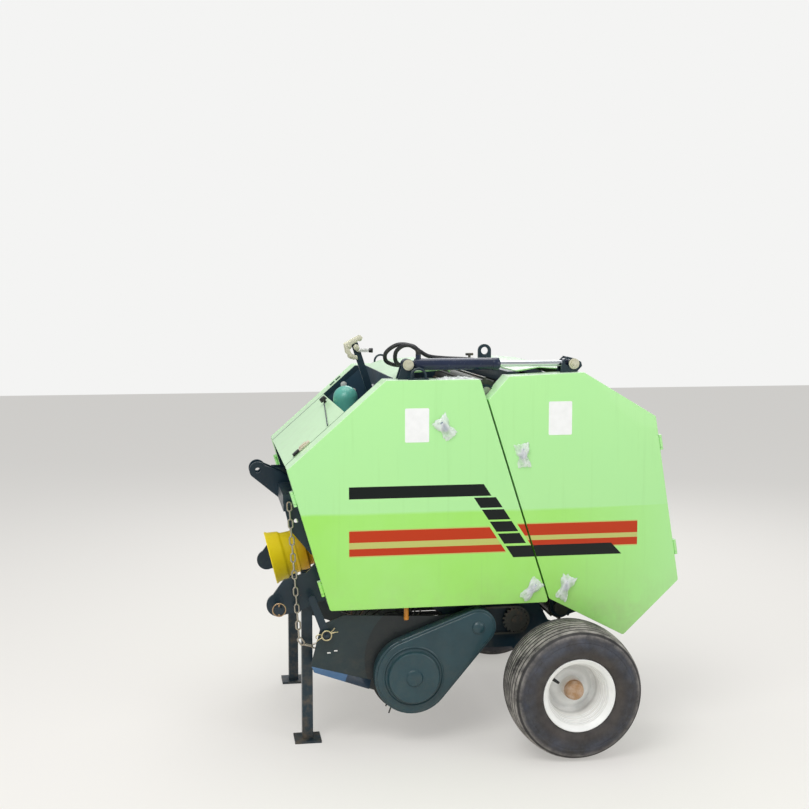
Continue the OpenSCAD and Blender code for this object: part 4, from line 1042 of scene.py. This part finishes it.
# Hydraulic hoses from the cylinder's ports to the block on the deck, each with its crimped fittings
HOSE_ROUTES = (
    ("hose_base", [(481, 392, 1321.3), (481, 392, 1326), (484, 391, 1338), (500, 384, 1350), (526, 366, 1350),
                   (547, 344, 1330), (547, 322, 1300), (530, 306, 1283), (502, 302, 1279), (478, 302, 1279),
                   (472.3, 302, 1279)]),
    ("hose_gland", [(235, 357.7, 1288.5), (235, 353, 1288.5), (239, 342, 1291), (256, 336, 1296), (310, 336, 1302),
                    (380, 340, 1306), (436, 346, 1313), (468, 350, 1330), (504, 348, 1351), (545, 337, 1351),
                    (578, 322, 1326), (577, 304, 1298), (550, 291, 1283), (512, 286, 1279), (478, 286, 1279),
                    (472.3, 286, 1279)]))
HOSE_R = 7.0
for name, points in HOSE_ROUTES:
    places = [at(*point) for point in points]
    route = [places[0]] + smooth_path(places[1:-1], 6) + [places[-1]]
    form = bmesh.new()
    sweep(form, route, HOSE_R, 14)
    for end in (route[:8], route[-4:]):
        sweep(form, end, lambda t: 8.6 + 0.5 * cos(t * 26), 16)
    piece = shaped(name, form, None, "hose_rubber", 60, ["hoses"] if name == "hose_base" else ())
    at(560, 310, 1290)
    at(478, 375, 1328)
    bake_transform(piece)

# Cylinder: gland nut, retaining ring, rod end and pin heads
base, eye = Vector(CYL_BASE), Vector(CYL_EYE)
way = (eye - base).normalized()


def along_cylinder(distance):
    p = base + way * distance
    return at(p.x, CYL_Y, p.y)


form = bmesh.new()
rod(form, along_cylinder(BARREL_LEN - 20), along_cylinder(BARREL_LEN + 2), 21.6, 40)
rod(form, along_cylinder(BARREL_LEN + 2), along_cylinder(BARREL_LEN + 7), 16, 32, 12)
ring_tube(form, along_cylinder(30), at(eye.x, 0, eye.y) - at(base.x, 0, base.y), 19.2, 1.8, 48, 8)
shaped("gland_nut", form, "barrel", "cylinder_black", bevel=(1.0, 2))
turned("rod_end", [(along_cylinder(530), along_cylinder(549), 14.5, 32)], "rod", "cylinder_black", (1.2, 2))
for name, pin, out, body in (("base_pin_head", base, 28.2, "frame"), ("eye_pin_head", eye, 30.2, "rod")):
    bolts(name, [at(pin.x, CYL_Y + out, pin.y)], body, 12.5, 8, "zinc_pale")

# Chain case: a pressed cover with a round edge, a stepped hub over the reel and a cap over the feed roller


def arc(centre, radius, start, end, steps):
    return [(centre[0] + radius * cos(start + (end - start) * k / steps),
             centre[1] + radius * sin(start + (end - start) * k / steps)) for k in range(steps + 1)]


def pulley_line(a, ra, b, rb, steps=28):
    """The outline of a belt around two circles."""
    bearing = atan2(b[1] - a[1], b[0] - a[0])
    half = acos((ra - rb) / hypot(b[0] - a[0], b[1] - a[1]))
    return (arc(a, ra, bearing + half, bearing + 2 * pi - half, steps)
            + arc(b, rb, bearing - half, bearing + half, steps))


HUB_PROFILE = [(-3, 0.5), (27, 0.5), (27, 22), (26, 25), (24, 26.5), (21.5, 29), (20.5, 34), (20.5, 72), (21.5, 78),
               (22, 82), (20.5, 85), (17, 86.5), (4, 87.5), (1, 90), (0.4, 95), (3.0, 98), (3.4, 101), (2.0, 103.5),
               (-3, 104)]
FEED_CAP = [(-3, 0.5), (11, 0.5), (10.5, 9), (8, 16), (4, 20.5), (-3, 22)]
TO_THE_LEFT = (0, 1, 0)
form = bmesh.new()
slab(form, pulley_line(REEL, 130, FEED, 62), CASE_IN, CASE_OUT - 6)
slab(form, pulley_line(REEL, 122, FEED, 54), CASE_IN + 10, CASE_OUT)
cover = bevelled(mesh_from("chain_case_cover", form), 4.5, 3, 50)
form = revolve(HUB_PROFILE, at(REEL[0], CASE_OUT, REEL[1]), TO_THE_LEFT)
form.from_mesh(cover)
bpy.data.meshes.remove(cover)
take_in(form, "feed_cap", revolve(FEED_CAP, at(FEED[0], CASE_OUT, FEED[1]), TO_THE_LEFT, 40))
shaped("chain_case_cover", form, "pickup", "case_dark", 30, ["pickup_chain_case"])
case_bolts = [at(x, CASE_OUT - 6, z) for x, z in ((553, 373), (404, 397))]
bolts("chain_case_bolts", case_bolts, "pickup", 4.5, 4, "case_dark")

# Folded lower edge of the left pick-up plate, coloured blue-grey as a painted highlight, with a painted shadow over
# its rear end
FOLD_WIDE = 11
PLATE_PROUD = 0.8
EDGE_OUTLINE = [(835.0, 268.0), (843.0, 286.0), (644.0, 230.4), (652.0, 202.4)]
form = bmesh.new()
near = [form.verts.new(at(x, CASE_IN + 0.2, z)) for x, z in EDGE_OUTLINE]
far = [form.verts.new(at(x, CASE_IN + out, z))
       for (x, z), out in zip(EDGE_OUTLINE, (FOLD_WIDE, PLATE_PROUD, PLATE_PROUD, FOLD_WIDE))]
solid(form, [near, far])
shaped("plate_folded_edge", form, "pickup", "plate_blue", bevel=(0.8, 2))

# Linch pins: a spring ring of zinc wire around each pin's end
STRUT_FOOT = (794.0, CASE_IN + 19, 394.0)
HITCH = (950.0, 486.0)
HITCH_PIN_Y = 424
# The bent ends of the strut's pin, from the middle of its ring
PIN_WIRES = (((-14, 0, 6), (-26, 1, 10), (-38, 0, 11)), ((-12, 0, 9), (-20, 0, 17), (-27, 0, 25)),
             ((14, 0, -5), (24, 0, -11), (34, 0, -18)), ((15, 0, 2), (26, 0, 5), (36, 0, -2), (34, 0, -9)))


def wire(form, points, radius):
    sweep(form, smooth_path([at(*p) for p in points], 4), radius, 8)


form = bmesh.new()
ring_tube(form, at(*STRUT_FOOT), TO_THE_LEFT, 16.0, 2.6)
for points in PIN_WIRES:
    wire(form, [Vector(STRUT_FOOT) + Vector(p) for p in points], 1.9)
shaped("strut_linch_pin", form, "pickup", "zinc_steel", 60)
form = bmesh.new()
for side, _ in SIDES:
    ring_tube(form, at(HITCH[0], side * HITCH_PIN_Y, HITCH[1]), (0, side, 0), 21.0, 2.4)
    wire(form, [(HITCH[0], side * HITCH_PIN_Y, HITCH[1] + up) for up in (19, -19)], 3.2)
shaped("hitch_linch_pins", form, "frame", "zinc_rusty", 60)

# Orange cap under the front body's lower edge
turned("orange_cap", [(at(527, 428, 486), at(527, 428, 446), 8, 24),
                      (at(527, 428, 447), at(527, 428, 436), 9.5, 24, 7.5)], "frame", "tag_orange", (1.0, 2))

# Twine hood: a knob, its thin rod and a toggle latch, and two dark slots on the far edge
SLOPE = (Vector(BROW) - Vector(NOSE)).normalized()
SLOPE_OUT = Vector((SLOPE.y, -SLOPE.x))
KNOB_AT = (738, -135)
ROD_WAY = ((742, -135), (760, 105), (778, 346))


def on_hood(x, y, lift):
    """A point over the slope between nose and brow, in drawing millimetres."""
    t = (NOSE[0] - x) / -SLOPE.x
    p = Vector(NOSE) + SLOPE * t + SLOPE_OUT * (lift - 1)
    return at(p.x, y, p.y)


def slope_blocks(name, blocks, body, paint, bevel):
    """A piece of blocks that lie on the slope: two x, two y and two heights over it each."""
    form = bmesh.new()
    for x0, x1, y0, y1, low, high in blocks:
        solid(form, [[form.verts.new(on_hood(x, y, lift)) for x, y in ((x0, y0), (x1, y0), (x1, y1), (x0, y1))]
                     for lift in (low, high)])
    shaped(name, form, body, paint, bevel=bevel)


turned("hood_knob", [(on_hood(*KNOB_AT, 0), on_hood(*KNOB_AT, 9), 5, 20),
                     (on_hood(*KNOB_AT, 8), on_hood(*KNOB_AT, 24), 14, 32, 12)], "hood", "knob_black", (2.0, 3))
form = bmesh.new()
sweep(form, [on_hood(x, y, 3.2) for x, y in ROD_WAY], 2.2, 8)
shaped("hood_rod", form, "hood", "frame_dark", 60)
toggle_plate = [(838, 876, 320, 350, 0.1, 7), (846, 868, 328, 344, 6, 12)]
slope_blocks("hood_toggle_plate", toggle_plate, "hood", "latch_beige", (2.0, 3))
slope_blocks("hood_toggle_lever", [(872, 892, 326, 352, 0.1, 9)], "hood", "knob_black", (2.0, 3))
edge_slots = [(x - 9, x + 9, -412, -402, 1.2, 4.5) for x in (661, 684)]
slope_blocks("far_edge_slots", edge_slots, "frame", "frame_dark", (1.0, 2))

# Bright bolts and a clip inside the compartment
bolts("compartment_bolts", [at(645, -356.8, 1168), at(609, -356.8, 1142)], "frame", 8, 6, "bolt_bright")
form = bmesh.new()
slab(form, [(563.2, 1172), (568, 1172), (568, 1186), (563.2, 1186)], -120, -84)
shaped("compartment_clip", form, "frame", "label_white", bevel=(1.5, 2), slot="zinc_steel")

# Twine tensioner: crescent cheeks, thin guide plates and flanged rollers on one pin, a spring and its knob
HEAD = (642.0, 1330.0)
CHEEK_Y = 17.0
CHEEK = [(42, 12), (36, -20), (12, -45), (-6, -44), (-3, -30), (14, -26), (24, -8), (22, 6), (4, 14), (-25, 32),
         (-16, 43), (10, 30)]
PLATE = [(42, 12), (38, -14), (30, -24), (22, -22), (29, -8), (30, 6), (20, 16), (-2, 24), (2, 32), (24, 24)]
PAWL = [(6, 8), (6, -8), (-6, -18), (-14, -16), (-14, -8), (-8, 4)]
ROLLERS = (((26, 2), 7.5), ((18, -32), 6.5), ((-13, 30), 6.0))
SPRING_Y = CHEEK_Y + 1
SPRING_Z = -12
SPRING_R = 6.2


def on_head(x, y, z):
    return at(HEAD[0] + x, y, HEAD[1] + z)


def head_slab(form, outline, y0, y1, share=1.0):
    slab(form, [(HEAD[0] + x * share, HEAD[1] + z * share) for x, z in outline], y0, y1)


def head_bar(form, x, z, y0, y1, radius, sides):
    rod(form, on_head(x, y0, z), on_head(x, y1, z), radius, sides)


def on_spring(x):
    return on_head(x, SPRING_Y, SPRING_Z)


form = bmesh.new()
for y in (-CHEEK_Y - 3, CHEEK_Y):
    head_slab(form, CHEEK, y, y + 3)
for y in (-10.5, -2.5, 5.5):
    head_slab(form, PLATE, y, y + 1.5, 0.98)
for (x, z), radius in ROLLERS:
    head_bar(form, x, z, -CHEEK_Y - 1, CHEEK_Y + 1, radius, 24)
    head_bar(form, x, z, -CHEEK_Y - 8, CHEEK_Y + 8, radius / 2, 16)
    for y in (-15, 12):
        head_bar(form, x, z, y, y + 2, radius + 3.5, 24)
head_bar(form, 0, 0, -CHEEK_Y - 7, CHEEK_Y + 7, 6, 20)
head_bar(form, 0, 0, CHEEK_Y + 3, CHEEK_Y + 6, 10, 24)
head_slab(form, PAWL, CHEEK_Y - 4, CHEEK_Y + 1)
shaped("tensioner_head", form, "frame", "zinc_pale", 35, ["twine_tensioner"], (0.6, 2))
form = bmesh.new()
rod(form, on_spring(-50), on_spring(-8), 3, 14)
sweep(form, [on_head(-44 + t * 0.36, SPRING_Y + SPRING_R * cos(t * 0.6), SPRING_Z + SPRING_R * sin(t * 0.6))
             for t in range(84)], 1.1, 6)
rod(form, on_spring(-14), on_spring(-11), 7.5, 20)
shaped("tensioner_spring", form, "frame", "bolt_bright", 60)
turned("tensioner_knob", [(on_spring(-60), on_spring(-45), 9, 24, 7.5)], "frame", "knob_black", (1.5, 2))

# T-headed bolt on the tailgate's front tube
turned("tee_bolt", [(at(158, -300, 1259.8), at(158, -300, 1282), 5, 16),
                    (at(143, -300, 1284), at(173, -300, 1284), 5, 16)], "tailgate", "works_steel", (0.8, 2))

# Stretch film left on the left cabinet's top edge: its ends, its sides and its height
TOP_FILM_X = (300, 425)
TOP_FILM_Y = (385, 455)
TOP_FILM_Z = BROW[1] - 1


def between(ends, share):
    return ends[0] + (ends[1] - ends[0]) * share


def top_film_spot(s, t):
    seed = Vector((t * 6.0, s * 2.2, 4.0))
    fade = min(1.0, 5 * t, 5 * (1 - t), 4 * s, 4 * (1 - s))
    x = between(TOP_FILM_X, t) + 6 * noise(seed * 1.3)
    y = between(TOP_FILM_Y, s) + 7 * noise(seed * 1.7 + Vector((5, 0, 0)))
    lift = 0.8 + fade * max(0.0, 5 + 7 * noise(seed * 2.1) + 3 * noise(seed * 6.0))
    return at(x, min(y, TOP_FILM_Y[1]), TOP_FILM_Z + lift)


crumpled("front_top_film", 14, 40, top_film_spot, "frame")

# Camera: where the photograph was taken from, with the lens that its perspective gives
SENSOR = 36.0
PHOTO_WIDTH = 809.0
FOCAL_PIXELS = 1250.0
LENS = SENSOR * FOCAL_PIXELS / PHOTO_WIDTH
CAMERA_AT = Vector((0.8815, 4.47, 1.5335))
LOOK = Vector((-0.16001, -0.98274, -0.0928)).normalized()


def aimed(name, data, place, way):
    """A lamp or camera that looks along a direction."""
    made = placed(name, data)
    made.location = place
    made.rotation_euler = way.to_track_quat("-Z", "Y").to_euler()
    return made


camera_data = bpy.data.cameras.new("photo_camera")
camera_data.sensor_width = SENSOR
camera_data.lens = LENS
bpy.context.scene.camera = aimed("photo_camera", camera_data, CAMERA_AT, LOOK)

# Stage and light: seen straight on, the floor glows a little and the sky is plain and pale
FLOOR_HALF = 14.0
FLOOR_GLOW = 0.45


def floor_finish(name, colour):
    """A matt surface that the camera and reflections see as a plain pale colour."""
    f = Finish(name)
    path = f.add("ShaderNodeLightPath")
    seen = path["Is Camera Ray"].math("MAXIMUM", path["Is Glossy Ray"])
    matt = f.add("ShaderNodeBsdfDiffuse", {"Color": colour})
    glow = f.add("ShaderNodeEmission", {"Color": colour, "Strength": 1.0})
    both = f.add("ShaderNodeMixShader", {0: seen * FLOOR_GLOW, 1: matt, 2: glow})
    f.add("ShaderNodeOutputMaterial", {0: both})
    return f.owner


form = bmesh.new()
bmesh.ops.create_grid(form, x_segments=1, y_segments=1, size=FLOOR_HALF)
floor = placed("floor", mesh_from("floor", form, outward=False))
floor.data.materials.append(floor_finish("floor_pale", tint("F0EDE8")))
floor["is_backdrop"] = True

f = Finish("studio", "worlds")
bpy.context.scene.world = f.owner
sky = f.add("ShaderNodeBackground", {"Color": (0.93, 0.96, 1.0, 1.0), "Strength": 0.50})
backdrop = f.add("ShaderNodeBackground", {"Color": tint("F4F4F3"), "Strength": 1.0})
seen = f.add("ShaderNodeLightPath")["Is Camera Ray"]
choice = f.add("ShaderNodeMixShader", {0: seen, 1: sky, 2: backdrop})
f.add("ShaderNodeOutputWorld", {0: choice})

# Lamps: name, place, target, power and size
LAMPS = (("key", (1.6, 2.6, 3.6), (0.0, 0.2, 0.7), 74, 2.4), ("fill", (-2.8, 3.2, 2.2), (0.0, 0.0, 0.6), 31, 2.6),
         ("back", (-1.2, -3.4, 3.2), (0.0, 0.0, 0.8), 44, 2.6), ("top", (0.2, -0.5, 4.2), (0.1, 0.0, 1.0), 54, 3.0))
for name, place, target, power, size in LAMPS:
    data = bpy.data.lights.new(name, "AREA")
    data.shape = "DISK"
    data.size = size
    data.energy = power
    aimed(name, data, place, Vector(target) - Vector(place))

bpy.context.scene.view_settings.view_transform = "Standard"


def corners(bounds):
    return [[float(c) for c in corner] for corner in bounds]


{"cad": corners(lo_hi), "visual": corners(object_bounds())}
